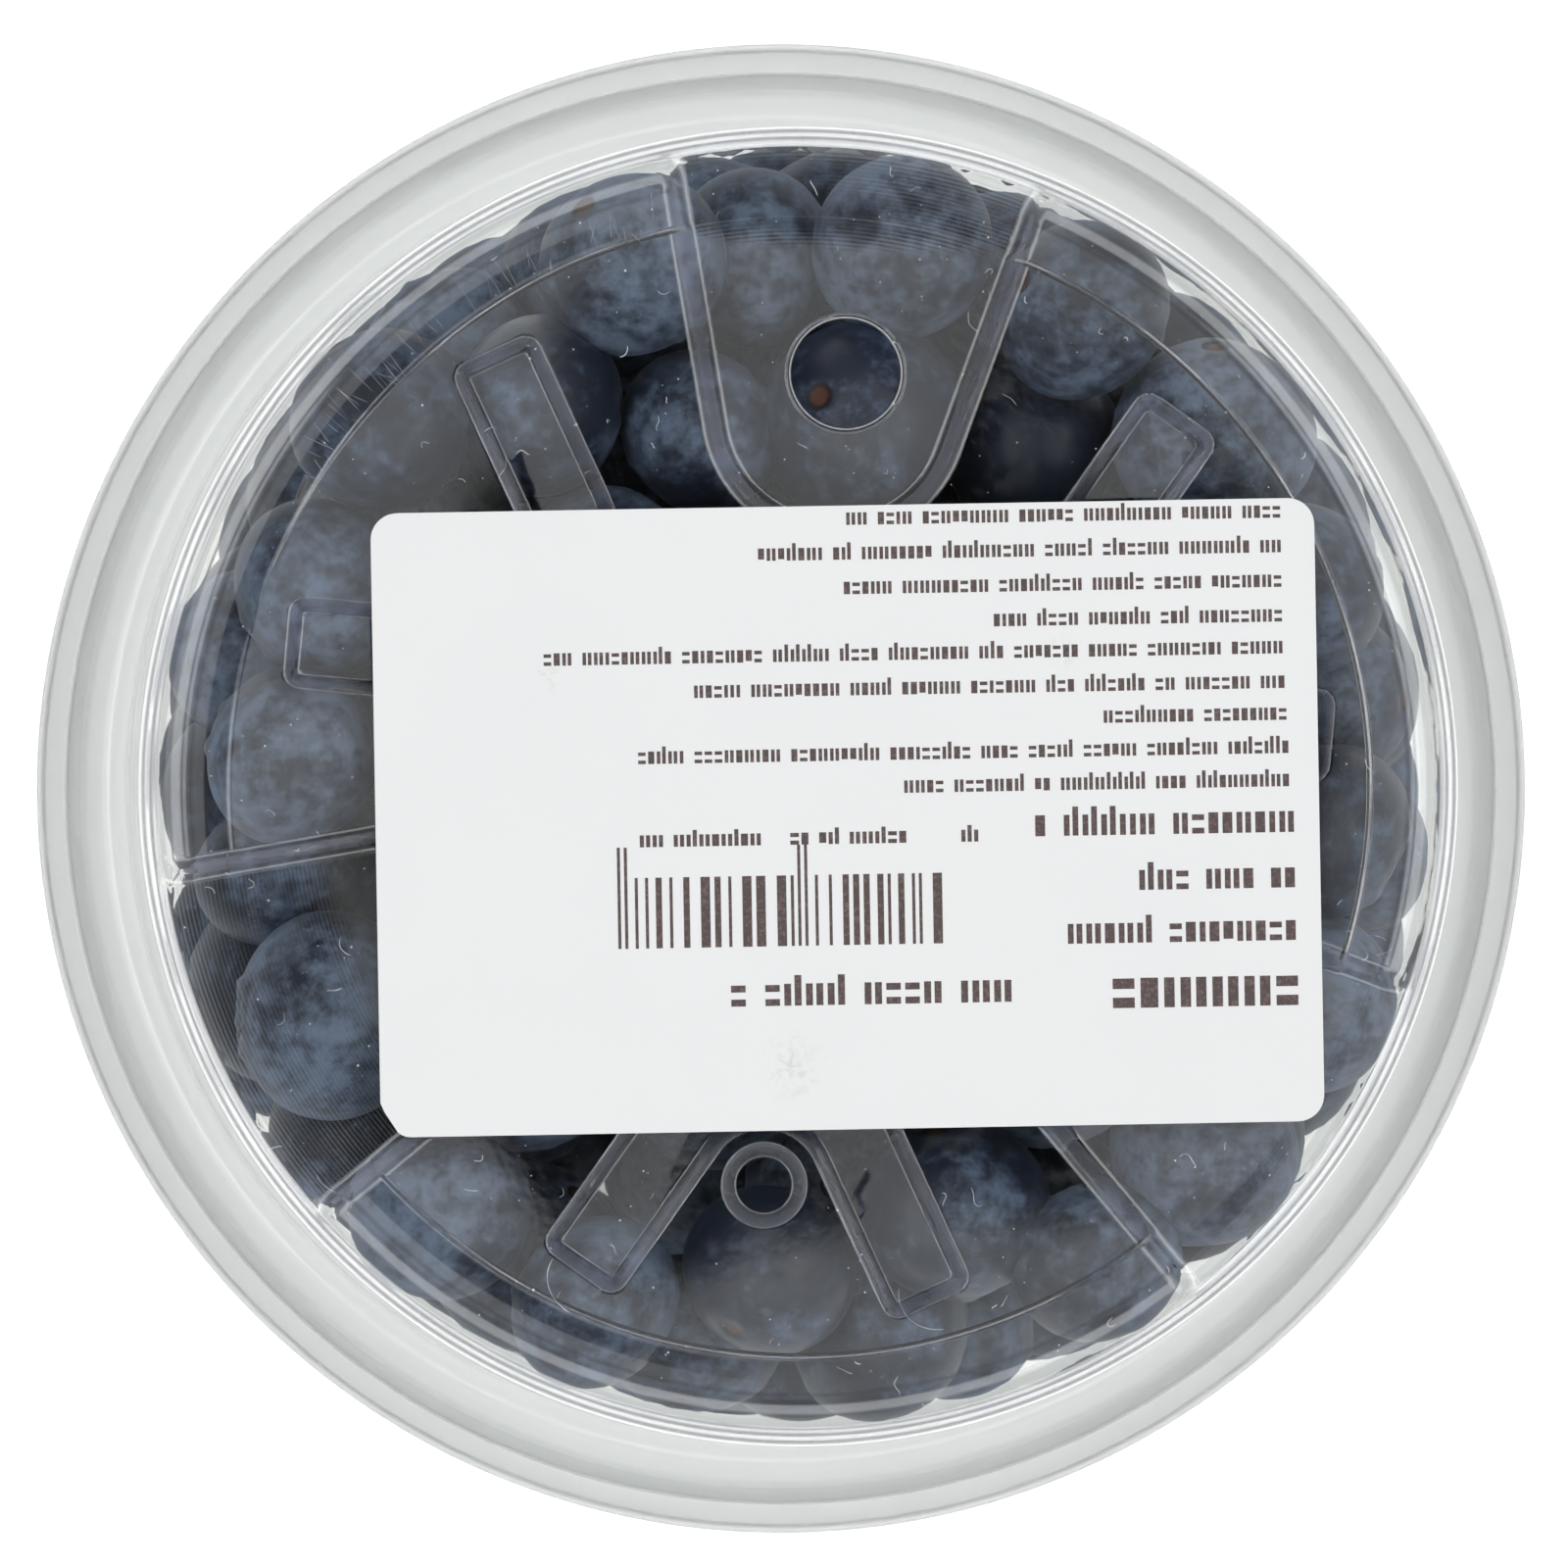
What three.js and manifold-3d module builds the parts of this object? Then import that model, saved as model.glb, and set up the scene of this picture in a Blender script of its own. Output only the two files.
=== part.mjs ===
// A round clear tub of blueberries, shut by its snap lid and lying on that lid, base up.
// Millimetres, +Z up. The origin is the centre of the lid's foot ring, on the surface it lies on.

import * as THREE from 'three';
import { mergeVertices } from 'three/addons/utils/BufferGeometryUtils.js';
import Module from 'manifold-3d';

const wasm = await Module();
wasm.setup();

// Driving dimensions of the tub

const height = 60;
const sheet = 0.5;
const gap = 0.3;
const facets = 64;
const arcSteps = 4;

const baseCornerRadius = 47.8;
const wallFootRadius = 50.4;
const cornerRound = 3.8;
const panelRadius = 41;
const panelStep = 0.7;
const stepSpread = 0.6;

// Rim of the tub, with its skirt turned up in this pose

const rimBottom = 0.9;
const skirtRadius = 54.85;
const skirtLean = 0.35;
const skirtTop = 6;

// Lid: recessed middle, foot ring, and outer skirt with its lip

const lidPanel = 3;
const lidPanelRadius = 47.6;
const ringInner = 48.2;
const ringOuter = 55.3;
const lidSkirtTop = 6.6;
const lidSkirtLean = 0.7;
const lipRadius = 57.2;
const lipRise = 0.4;

// Relief of the base: three open channels, and between them three ribs with a dimple each

const patternTurn = 5.2;
const sectors = 3;
const channel = { depth: 2, spread: 1.6, endRadius: 7.8, endCentre: 27.3, flare: 14.9, reach: 62 };
const rib = { depth: 1.5, spread: 1, width: 4.5, flare: 30, bend: 7.4, leg: 11.7 };
const dimple = { depth: 1.2, centre: 28.9, top: 3.15, floor: 2 };
const drain = { radius: 4.1, across: 0.6, along: 30.05 };

// Paper label on the base

const label = { width: 68.1, height: 45, corner: 1.9, thickness: 0.2, x: 3.4, y: -2.25, turn: 1 };

// Berries. The shown ones lie right under the base: x, y, diameter, and drop below the base.

const heap = {
  seed: 29,
  count: 152,
  smallest: 12.2,
  spread: 3.9,
  rounds: 160,
  hold: 0.3,
  looseRounds: 25,
  coreInset: 7,
  around: 8,
  bands: 5,
};
const shownBerries = [
  [7.6, 40, 13.9, 0], [4.1, 27.4, 15.2, 0], [-3.6, 38.6, 13.4, 1.2], [-11.8, 37, 13.9, 0],
  [-18.6, 28.6, 13.6, 0], [-29.6, 26.8, 13.9, 0], [-9.6, 25.8, 12.9, 3.4], [-27.4, 35.4, 12.6, 3],
  [-34.6, 14.6, 13.6, 0], [-36.8, 2, 13.2, 0], [-37.4, -6.2, 12.6, 3], [-34.2, -16.2, 15.4, 0],
  [-34.4, -25.6, 13, 2.6], [-26.4, -31.6, 13.4, 0], [-14.6, -37.6, 13.3, 0], [-1.8, -34.8, 12.8, 0],
  [12.2, -31.6, 14.6, 0], [0, -41, 12.6, 3], [12, -40, 12.8, 2.6], [22.4, -34.6, 12.7, 1.6],
  [29.8, -28.4, 14.4, 0], [38, -16.2, 13.4, 0], [38.6, -3.4, 13.2, 1], [38.8, 7.4, 12.9, 1],
  [36.6, 14.4, 13, 2], [31.2, 25.8, 15, 0], [21.4, 34.6, 13.6, 0], [17.4, 25.8, 13.6, 2.4],
];

function turnOf(degrees) {
  return THREE.MathUtils.degToRad(degrees);
}

// A closed mesh with merged points becomes a solid that can be joined and cut.

function solidOf(geometry) {
  const bare = geometry.index ? geometry.toNonIndexed() : geometry.clone();
  for (const name of Object.keys(bare.attributes)) {
    if (name !== 'position') bare.deleteAttribute(name);
  }
  const merged = mergeVertices(bare, 1e-4);
  const triangles = [];
  for (let i = 0; i < merged.index.count; i += 3) {
    const [a, b, c] = [0, 1, 2].map((step) => merged.index.getX(i + step));
    if (a !== b && b !== c && c !== a) triangles.push(a, b, c);
  }
  return new wasm.Manifold(new wasm.Mesh({
    numProp: 3,
    vertProperties: new Float32Array(merged.attributes.position.array),
    triVerts: new Uint32Array(triangles),
  }));
}

function geometryOf(solid) {
  const mesh = solid.getMesh();
  const geometry = new THREE.BufferGeometry();
  geometry.setAttribute('position', new THREE.BufferAttribute(mesh.vertProperties, 3));
  geometry.setIndex(new THREE.BufferAttribute(mesh.triVerts, 1));
  geometry.computeVertexNormals();
  return geometry;
}

// A solid of revolution about Z from rows of radius and height, lowest first.

function revolve(rows, sides = facets) {
  const profile = rows.map(([radius, level]) => new THREE.Vector2(radius, level));
  return new THREE.LatheGeometry(profile, sides).rotateX(Math.PI / 2);
}

// A pocket's tool: its floor keeps the outline, and its sides spread out towards the base plane.

function pocketTool(outline, { depth, spread }, grow) {
  const above = 3;
  const geometry = new THREE.ExtrudeGeometry(new THREE.Shape(outline), {
    depth: above,
    bevelEnabled: true,
    bevelThickness: depth,
    bevelSize: spread,
    bevelOffset: grow,
    bevelSegments: 1,
  });
  return geometry.translate(0, 0, height - grow);
}

function arc(centreY, radius, from, to, steps) {
  return Array.from({ length: steps + 1 }, (unused, i) => {
    const angle = turnOf(from + (to - from) * i / steps);
    return new THREE.Vector2(radius * Math.cos(angle), centreY + radius * Math.sin(angle));
  });
}

// The channel's floor: a round end towards the middle, and sides that flare out past the corner.

function channelOutline() {
  const { endRadius, endCentre, flare, reach } = channel;
  const end = arc(endCentre, endRadius, 180 + flare, 360 - flare, 2 * arcSteps);
  const last = end[end.length - 1];
  const run = (reach - last.y) * Math.tan(turnOf(flare));
  return [...end, new THREE.Vector2(last.x + run, reach), new THREE.Vector2(-last.x - run, reach)];
}

// The rib's floor: two legs that spread outwards from a bend round the dimple.

function ribOutline() {
  const { width, flare, bend, leg } = rib;
  const outer = arc(dimple.centre, bend + width / 2, 180 + flare, 360 - flare, 2 * arcSteps);
  const inner = arc(dimple.centre, bend - width / 2, 360 - flare, 180 + flare, arcSteps);
  const along = new THREE.Vector2(Math.sin(turnOf(flare)), Math.cos(turnOf(flare))).multiplyScalar(leg);
  const mirrored = new THREE.Vector2(-along.x, along.y);
  return [
    ...outer,
    outer[outer.length - 1].clone().add(along),
    inner[0].clone().add(along),
    ...inner,
    inner[inner.length - 1].clone().add(mirrored),
    outer[0].clone().add(mirrored),
  ];
}

function dimpleTool(grow) {
  const { depth, centre, top, floor } = dimple;
  const above = 1;
  const slope = (top - floor) / depth;
  const wide = top + grow + above * slope;
  const tool = new THREE.CylinderGeometry(wide, floor + grow, depth + above, 2 * arcSteps + 4);
  tool.rotateX(Math.PI / 2);
  return tool.translate(0, centre, height - grow - depth + (depth + above) / 2);
}

// Every pocket of the base, sunk by the sheet's thickness again for the inner face.

function reliefTools(grow) {
  const tools = [];
  for (let i = 0; i < sectors; i += 1) {
    const channelTurn = -turnOf(patternTurn + 360 * i / sectors);
    const ribTurn = channelTurn - Math.PI / sectors;
    tools.push(solidOf(pocketTool(channelOutline(), channel, grow).rotateZ(channelTurn)));
    tools.push(solidOf(pocketTool(ribOutline(), rib, grow).rotateZ(ribTurn)));
    tools.push(solidOf(dimpleTool(grow).rotateZ(ribTurn)));
  }
  return tools;
}

// The base's edge from the wall's top to the middle panel, moved in by the given distance.

function cornerRows(inset) {
  const centre = [baseCornerRadius - cornerRound, height - panelStep - cornerRound];
  const round = cornerRound - inset;
  const rows = Array.from({ length: arcSteps + 1 }, (unused, i) => {
    const angle = Math.PI / 2 * i / arcSteps;
    return [centre[0] + round * Math.cos(angle), centre[1] + round * Math.sin(angle)];
  });
  rows.push([panelRadius + stepSpread - inset / 2, height - panelStep - inset]);
  rows.push([panelRadius - inset / 2, height - inset]);
  rows.push([0, height - inset]);
  return rows;
}

function cavitySolid(inset, bottom) {
  const rows = [[0, bottom], [wallFootRadius - inset, bottom], ...cornerRows(inset)];
  return reliefTools(inset).reduce((hollow, tool) => hollow.subtract(tool), solidOf(revolve(rows)));
}

function tubSolid() {
  const flange = rimBottom + sheet;
  const rows = [
    [0, rimBottom],
    [skirtRadius - skirtLean, rimBottom],
    [skirtRadius, skirtTop],
    [skirtRadius - sheet, skirtTop],
    [skirtRadius - skirtLean - sheet, flange],
    [wallFootRadius, flange],
    ...cornerRows(0),
  ];
  const outside = reliefTools(0).reduce((body, tool) => body.subtract(tool), solidOf(revolve(rows)));
  const hole = new THREE.CylinderGeometry(drain.radius, drain.radius, height, 4 * arcSteps + 8);
  hole.rotateX(Math.PI / 2).translate(drain.across, drain.along, height).rotateZ(-turnOf(patternTurn));
  return outside.subtract(cavitySolid(sheet, -sheet)).subtract(solidOf(hole));
}

function lidGeometry() {
  const ringTop = sheet;
  return revolve([
    [0, lidPanel],
    [lidPanelRadius, lidPanel],
    [ringInner, 0],
    [ringOuter, 0],
    [ringOuter + lidSkirtLean, lidSkirtTop],
    [lipRadius, lidSkirtTop + lipRise],
    [lipRadius, lidSkirtTop + lipRise + sheet],
    [ringOuter + lidSkirtLean - sheet, lidSkirtTop + sheet],
    [ringOuter - sheet, ringTop],
    [ringInner + sheet, ringTop],
    [lidPanelRadius + sheet, lidPanel + sheet],
    [0, lidPanel + sheet],
  ]);
}

function labelGeometry() {
  const { width, height: tall, corner, thickness, x, y, turn } = label;
  const [halfWide, halfTall] = [width / 2, tall / 2];
  const outline = new THREE.Shape();
  outline.moveTo(corner - halfWide, -halfTall);
  outline.absarc(halfWide - corner, corner - halfTall, corner, -Math.PI / 2, 0);
  outline.absarc(halfWide - corner, halfTall - corner, corner, 0, Math.PI / 2);
  outline.absarc(corner - halfWide, halfTall - corner, corner, Math.PI / 2, Math.PI);
  outline.absarc(corner - halfWide, corner - halfTall, corner, Math.PI, 1.5 * Math.PI);
  const options = { depth: thickness, bevelEnabled: false, curveSegments: arcSteps };
  const geometry = new THREE.ExtrudeGeometry(outline, options);
  return geometry.rotateZ(turnOf(turn)).translate(x, y, height);
}

// Seeded draws between 0 and 1.

function drawFrom(seed) {
  let state = seed;
  return () => {
    state = (state * 1664525 + 1013904223) % 4294967296;
    return state / 4294967296;
  };
}

// Radius of the space for berries at a level, less the gap to the wall.

function roomRadius(level) {
  const rise = (level - rimBottom) / (height - panelStep - cornerRound - rimBottom);
  return wallFootRadius + (baseCornerRadius - wallFootRadius) * rise - sheet - gap;
}

function startBerries(draw, floor, ceiling) {
  const berries = shownBerries.map(([x, y, diameter, drop]) => {
    const home = [x, y, ceiling - drop - diameter / 2];
    return { at: [...home], home, radius: diameter / 2 };
  });
  while (berries.length < heap.count) {
    const x = (2 * draw() - 1) * wallFootRadius;
    const y = (2 * draw() - 1) * wallFootRadius;
    const z = floor + draw() * (ceiling - floor);
    const radius = (heap.smallest + heap.spread * draw()) / 2;
    if (x * x + y * y < wallFootRadius * wallFootRadius) {
      berries.push({ at: [x, y, z], home: null, radius });
    }
  }
  return berries;
}

function pushApart(first, second) {
  const [dx, dy, dz] = [0, 1, 2].map((axis) => second.at[axis] - first.at[axis]);
  const reach = first.radius + second.radius;
  const square = dx * dx + dy * dy + dz * dz;
  if (square >= reach * reach || square === 0) return;
  const apart = Math.sqrt(square);
  const share = 0.5 * (reach - apart) / apart;
  [dx, dy, dz].forEach((step, axis) => {
    first.at[axis] -= step * share;
    second.at[axis] += step * share;
  });
}

function keepInside(berry, floor, ceiling) {
  const { at, radius } = berry;
  at[2] = Math.min(Math.max(at[2], floor + radius), ceiling - radius);
  const limit = roomRadius(at[2]) - radius;
  const out = Math.sqrt(at[0] * at[0] + at[1] * at[1]);
  if (out > limit) {
    at[0] *= limit / out;
    at[1] *= limit / out;
  }
}

// The berries push each other apart inside the shut tub until they lie side by side.

function packBerries() {
  const floor = lidPanel + sheet + gap;
  const ceiling = height - sheet - gap;
  const berries = startBerries(drawFrom(heap.seed), floor, ceiling);
  for (let round = 0; round < heap.rounds; round += 1) {
    for (let i = 0; i < berries.length; i += 1) {
      for (let j = i + 1; j < berries.length; j += 1) pushApart(berries[i], berries[j]);
    }
    for (const berry of berries) {
      if (berry.home && round < heap.rounds - heap.looseRounds) {
        berry.home.forEach((place, axis) => {
          berry.at[axis] += (place - berry.at[axis]) * heap.hold;
        });
      }
      keepInside(berry, floor, ceiling);
    }
  }
  return berries;
}

// One fused heap: the outermost berries on a plain core, cut to the room inside the tub.

function heapSolid() {
  const { coreInset, around, bands } = heap;
  const floor = lidPanel + sheet + gap;
  const low = floor + coreInset;
  const top = height - sheet - gap - coreInset;
  const core = revolve([
    [0, low],
    [roomRadius(low) - coreInset, low],
    [roomRadius(top) - coreInset, top],
    [0, top],
  ], facets / 4);
  let fused = solidOf(core);
  for (const { at, radius } of packBerries()) {
    const ball = new THREE.SphereGeometry(radius, around, bands);
    fused = fused.add(solidOf(ball.translate(...at)));
  }
  const cut = fused.intersect(cavitySolid(sheet + gap, floor));
  const parts = cut.decompose();
  return parts.reduce((best, part) => (part.volume() > best.volume() ? part : best));
}

// Finishes

const clearPlastic = { color: 0xd9dedb, roughness: 0.08, metalness: 0, transparent: true, opacity: 0.35 };
const finishes = {
  tub: clearPlastic,
  lid: { ...clearPlastic, color: 0xd4d9d6 },
  label: { color: 0xf1f1ef, roughness: 0.6, metalness: 0 },
  berries: { color: 0x3b4660, roughness: 0.7, metalness: 0 },
};

function named(name, geometry) {
  const mesh = new THREE.Mesh(geometry, new THREE.MeshStandardMaterial(finishes[name]));
  mesh.name = name;
  return mesh;
}

const punnet = new THREE.Group();
punnet.add(named('tub', geometryOf(tubSolid())));
punnet.add(named('lid', lidGeometry()));
punnet.add(named('label', labelGeometry()));
punnet.add(named('berries', geometryOf(heapSolid())));

export default punnet;
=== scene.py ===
import math

import bpy
import numpy as np
from mathutils import Matrix, Vector
from mathutils.geometry import delaunay_2d_cdt


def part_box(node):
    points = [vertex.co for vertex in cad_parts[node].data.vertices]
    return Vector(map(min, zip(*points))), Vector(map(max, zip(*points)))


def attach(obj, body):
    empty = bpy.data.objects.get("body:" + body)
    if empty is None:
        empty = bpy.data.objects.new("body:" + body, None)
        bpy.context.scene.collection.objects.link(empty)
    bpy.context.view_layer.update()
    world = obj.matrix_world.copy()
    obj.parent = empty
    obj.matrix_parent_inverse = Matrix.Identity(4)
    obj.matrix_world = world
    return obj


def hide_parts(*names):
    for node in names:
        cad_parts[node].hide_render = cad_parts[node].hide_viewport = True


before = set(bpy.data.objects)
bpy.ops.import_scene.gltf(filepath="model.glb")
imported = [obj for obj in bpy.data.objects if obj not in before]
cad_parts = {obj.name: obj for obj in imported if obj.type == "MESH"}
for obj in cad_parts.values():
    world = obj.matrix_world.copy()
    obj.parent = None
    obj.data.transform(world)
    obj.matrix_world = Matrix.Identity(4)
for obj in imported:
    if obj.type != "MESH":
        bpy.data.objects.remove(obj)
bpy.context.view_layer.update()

# A round clear tub of blueberries lying base up on its lid. Lengths are in millimetres until a mesh is made.

mm = 0.001
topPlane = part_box("tub")[1].z / mm
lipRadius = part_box("lid")[1].x / mm

# the camera's place over the base, with the base's centre and its pixels a millimetre in the square frame
shot = {
    "distance": 800.0, "leanX": 20.4, "leanY": 2.6, "scale": 14.15, "frame": 1600, "baseAt": (817.0, 802.3),
}


# Small helpers

def polar(radius, angle):
    return np.stack([radius * np.cos(angle), radius * np.sin(angle)], axis=-1)


def makePiece(name, points, faces, material, smooth=True, normals=None):
    mesh = bpy.data.meshes.new(name)
    mesh.from_pydata((np.asarray(points, float) * mm).tolist(), [], [list(map(int, f)) for f in faces])
    mesh.validate()
    mesh.polygons.foreach_set("use_smooth", [smooth] * len(mesh.polygons))
    if normals is not None:
        mesh.normals_split_custom_set_from_vertices(normals.tolist())
    piece = bpy.data.objects.new(name, mesh)
    bpy.context.scene.collection.objects.link(piece)
    if material:
        mesh.materials.append(material)
    return piece


def markPoints(piece, masks):
    for name, values in masks.items():
        attribute = piece.data.attributes.new(name, "FLOAT", "POINT")
        attribute.data.foreach_set("value", values.astype(np.float32))


def dress(piece, slotName, *nodes):
    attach(piece, "root")
    if nodes:
        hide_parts(*nodes)
    return piece


def drawFrom(seed):
    state = seed
    while True:
        state = (state * 1664525 + 1013904223) % 4294967296
        yield state / 4294967296


# Shader helpers

def newMaterial(name):
    material = bpy.data.materials.new(name)
    material.use_nodes = True
    tree = material.node_tree
    tree.nodes.clear()
    return material, tree


def addNode(tree, kind, inputs=None, **settings):
    node = tree.nodes.new(kind)
    for key, value in settings.items():
        setattr(node, key, value)
    for key, value in (inputs or {}).items():
        if isinstance(value, bpy.types.NodeSocket):
            tree.links.new(value, node.inputs[key])
        else:
            node.inputs[key].default_value = value
    return node


def addMath(tree, operation, first, second=0.0, third=0.0):
    inputs = {0: first, 1: second, 2: third}
    return addNode(tree, "ShaderNodeMath", inputs, operation=operation).outputs[0]


def addRange(tree, value, low, high, toLow=0.0, toHigh=1.0, smooth=True):
    kind = "SMOOTHSTEP" if smooth else "LINEAR"
    inputs = {"Value": value, "From Min": low, "From Max": high, "To Min": toLow, "To Max": toHigh}
    return addNode(tree, "ShaderNodeMapRange", inputs, interpolation_type=kind).outputs["Result"]


def addMix(tree, factor, first, second):
    node = addNode(tree, "ShaderNodeMix", data_type="RGBA")
    for key, value in ((0, factor), (6, first), (7, second)):
        if isinstance(value, bpy.types.NodeSocket):
            tree.links.new(value, node.inputs[key])
        else:
            node.inputs[key].default_value = value
    return node.outputs[2]


def addNoise(tree, place, scale, detail=3.0, roughness=0.5, distortion=0.0):
    inputs = {"Vector": place, "Scale": scale, "Detail": detail, "Roughness": roughness,
              "Distortion": distortion}
    return addNode(tree, "ShaderNodeTexNoise", inputs)


def addBump(tree, height, strength=1.0):
    inputs = {"Strength": strength, "Distance": 1.0, "Height": height}
    return addNode(tree, "ShaderNodeBump", inputs).outputs[0]


def finishWith(tree, inputs):
    # an opaque surface of those inputs
    shell = addNode(tree, "ShaderNodeBsdfPrincipled", inputs)
    addNode(tree, "ShaderNodeOutputMaterial", {"Surface": shell.outputs[0]})


def objectPlace(tree):
    return addNode(tree, "ShaderNodeTexCoord").outputs["Object"]


# Relief of the base, worked out as distances from each outline

tub = {
    "sheet": 0.32,
    "cornerRadius": 47.8, "footRadius": 50.4, "cornerRound": 3.8,
    "panelRadius": 41.0, "panelStep": 0.95, "stepSpread": 0.5, "stepRound": 0.22,
    "discRadius": 46.6, "shoulder": ((46.95, 57.62, 0.35), (47.56, 57.5, 0.42), (47.84, 56.0, 1.0)),
    "ease": {"by": 0.045, "from": 42.9, "over": 1.5, "backFrom": 45.0, "backOver": 1.6},
    "flangeTop": 1.4, "flangeRound": 2.2, "skirtRound": 0.8, "skirtFoot": 54.0, "skirtTip": 54.85,
    "skirtTop": 5.6,
    "drawnAside": 0.9,
    "around": 360,
}
# the panel is slightly warped: it falls to the left and rises to the right
warp = {"leftSlope": 0.024, "leftFrom": -14.0, "rightSlope": 0.012, "rightFrom": 12.0, "lowSlope": 0.008,
        "lowFrom": -31.0, "soft": 3.5}
pattern = {"turn": 5.2, "sectors": 3, "blend": 0.02}
channel = {"depth": 2.0, "spread": 2.1, "fillet": 0.85, "endRadius": 7.6, "endCentre": 27.3, "flare": 14.9,
           "fall": (0.016, 0.004, 0.020), "turnUp": (39.0, 39.0, 36.0), "outerFall": (-0.03, -0.01, -0.011),
           "toolMarks": (0.75, 0.2, 1.0)}
rib = {"depth": 1.9, "endDepth": 0.9, "fall": 0.012, "fallFrom": 20.0, "sunk": 0.35, "spread": 1.25,
       "fillet": 0.5, "width": 4.3, "flare": 30.0, "bend": 7.4, "leg": 11.7}
dimple = {"depth": 1.2, "centre": 28.9, "spread": 1.15, "fillet": 0.45, "floor": 2.0}
drain = {"radius": 4.1, "across": 0.6, "along": 30.05, "around": 72, "bevel": 0.14}


def wallRise(distance, spread, fillet):
    # 0 on a pocket's floor and 1 past its top edge, a straight slope with rounded ends
    t = np.clip(distance, 0, spread)
    steep = 1 / (spread - fillet)
    low = steep * t * t / (2 * fillet)
    high = 1 - steep * (spread - t) ** 2 / (2 * fillet)
    return np.where(t < fillet, low, np.where(t > spread - fillet, high, steep * (t - fillet / 2)))


def localFrame(x, y, degrees):
    # across and along an axis that points that many degrees clockwise from +Y
    turn = math.radians(degrees)
    return x * math.cos(turn) - y * math.sin(turn), x * math.sin(turn) + y * math.cos(turn)


def worldFrame(across, along, degrees):
    turn = math.radians(degrees)
    return across * math.cos(turn) + along * math.sin(turn), along * math.cos(turn) - across * math.sin(turn)


def channelDistance(across, along):
    flare = math.radians(channel["flare"])
    u, v = np.abs(across), along - channel["endCentre"]
    forward = u * math.sin(flare) + v * math.cos(flare)
    side = u * math.cos(flare) - v * math.sin(flare)
    return np.where(forward >= 0, side, np.hypot(u, v)) - channel["endRadius"]


def ribDistance(across, along):
    flare = math.radians(rib["flare"])
    u, v = np.abs(across), along - dimple["centre"]
    forward = u * math.sin(flare) + v * math.cos(flare)
    side = np.abs(u * math.cos(flare) - v * math.sin(flare) - rib["bend"]) - rib["width"] / 2
    past = forward - rib["leg"]
    legs = np.hypot(np.maximum(side, 0), np.maximum(past, 0)) + np.minimum(np.maximum(side, past), 0)
    bend = np.abs(np.hypot(u, v) - rib["bend"]) - rib["width"] / 2
    return np.where(forward >= 0, legs, bend)


def dimpleDistance(across, along):
    return np.hypot(across, along - dimple["centre"]) - dimple["floor"]


def bend(value, soft):
    # 0 below zero and the value above it, with a soft knee
    return soft * np.logaddexp(0, value / soft)


def panelHeight(x, y):
    low = warp["lowSlope"] * bend(warp["lowFrom"] - y, warp["soft"])
    left = warp["leftSlope"] * bend(warp["leftFrom"] - x, warp["soft"])
    right = warp["rightSlope"] * bend(x - warp["rightFrom"], warp["soft"])
    most = warp["rightSlope"] * (tub["panelRadius"] - warp["rightFrom"])
    return topPlane - most - left - low + right


def plainHeight(x, y, r):
    # the base without its pockets: warped panel, step, flat ledge and rounded corner
    panel = panelHeight(x, y)
    ledge = topPlane - tub["panelStep"]
    rise = wallRise(r - tub["panelRadius"], tub["stepSpread"], tub["stepRound"])
    level = panel + (ledge - panel) * rise
    centre = tub["cornerRadius"] - tub["cornerRound"]
    out = np.clip(r - centre, 0, tub["cornerRound"])
    ease = tub["ease"]    # a shallow dip of the ledge before the corner
    start = np.clip((r - ease["from"]) / ease["over"], 0, 1)
    end = np.clip((r - ease["backFrom"]) / ease["backOver"], 0, 1)
    dip = ease["by"] * (start * start * (3 - 2 * start) - end * end * (3 - 2 * end))
    return level - dip - tub["cornerRound"] + np.sqrt(tub["cornerRound"] ** 2 - out ** 2)


def channelFloor(along, k):
    past = along - channel["endCentre"]
    turnUp = bend(along - channel["turnUp"][k], 1.0)
    return topPlane - channel["depth"] - channel["fall"][k] * past - channel["outerFall"][k] * turnUp


def aboveFloor(height, floor):
    # how far the base stands above a pocket's floor, with a soft join where they meet
    above = height - floor
    return 0.5 * (above + np.sqrt(above ** 2 + pattern["blend"]))


def baseHeight(x, y):
    height = plainHeight(x, y, np.hypot(x, y))
    for k in range(pattern["sectors"]):
        turn = pattern["turn"] + 360 * k / pattern["sectors"]
        across, along = localFrame(x, y, turn)
        above = aboveFloor(height, channelFloor(along, k))
        height = height - above * (1 - wallRise(channelDistance(across, along), channel["spread"],
                                                channel["fillet"]))
        across, along = localFrame(x, y, turn + 180 / pattern["sectors"])
        out = np.clip((np.hypot(across, along - dimple["centre"]) - rib["bend"]) / rib["leg"], 0, 1)
        depth = rib["depth"] + (rib["endDepth"] - rib["depth"]) * out
        floor = topPlane - rib["sunk"] - depth - rib["fall"] * (np.hypot(x, y) - rib["fallFrom"])
        above = aboveFloor(height, floor)
        height = height - above * (1 - wallRise(ribDistance(across, along), rib["spread"], rib["fillet"]))
        sunk = 1 - wallRise(dimpleDistance(across, along), dimple["spread"], dimple["fillet"])
        height = height - dimple["depth"] * sunk
    return height


# Lines that the base's mesh follows, so that every edge of the relief is crisp

def evenly(path, step):
    path = np.asarray(path, float)
    lengths = np.concatenate([[0], np.cumsum(np.hypot(*np.diff(path, axis=0).T))])
    count = max(2, int(round(lengths[-1] / step)) + 1)
    at = np.linspace(0, lengths[-1], count)
    return np.stack([np.interp(at, lengths, path[:, i]) for i in (0, 1)], axis=-1)


def offsetsOf(part):
    s, f = part["spread"], part["fillet"]
    low = [0, f / 4, f / 2, f * 0.75, f]
    return [-0.15, *low, s / 2, *(s - t for t in reversed(low)), s + 0.15]


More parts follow.
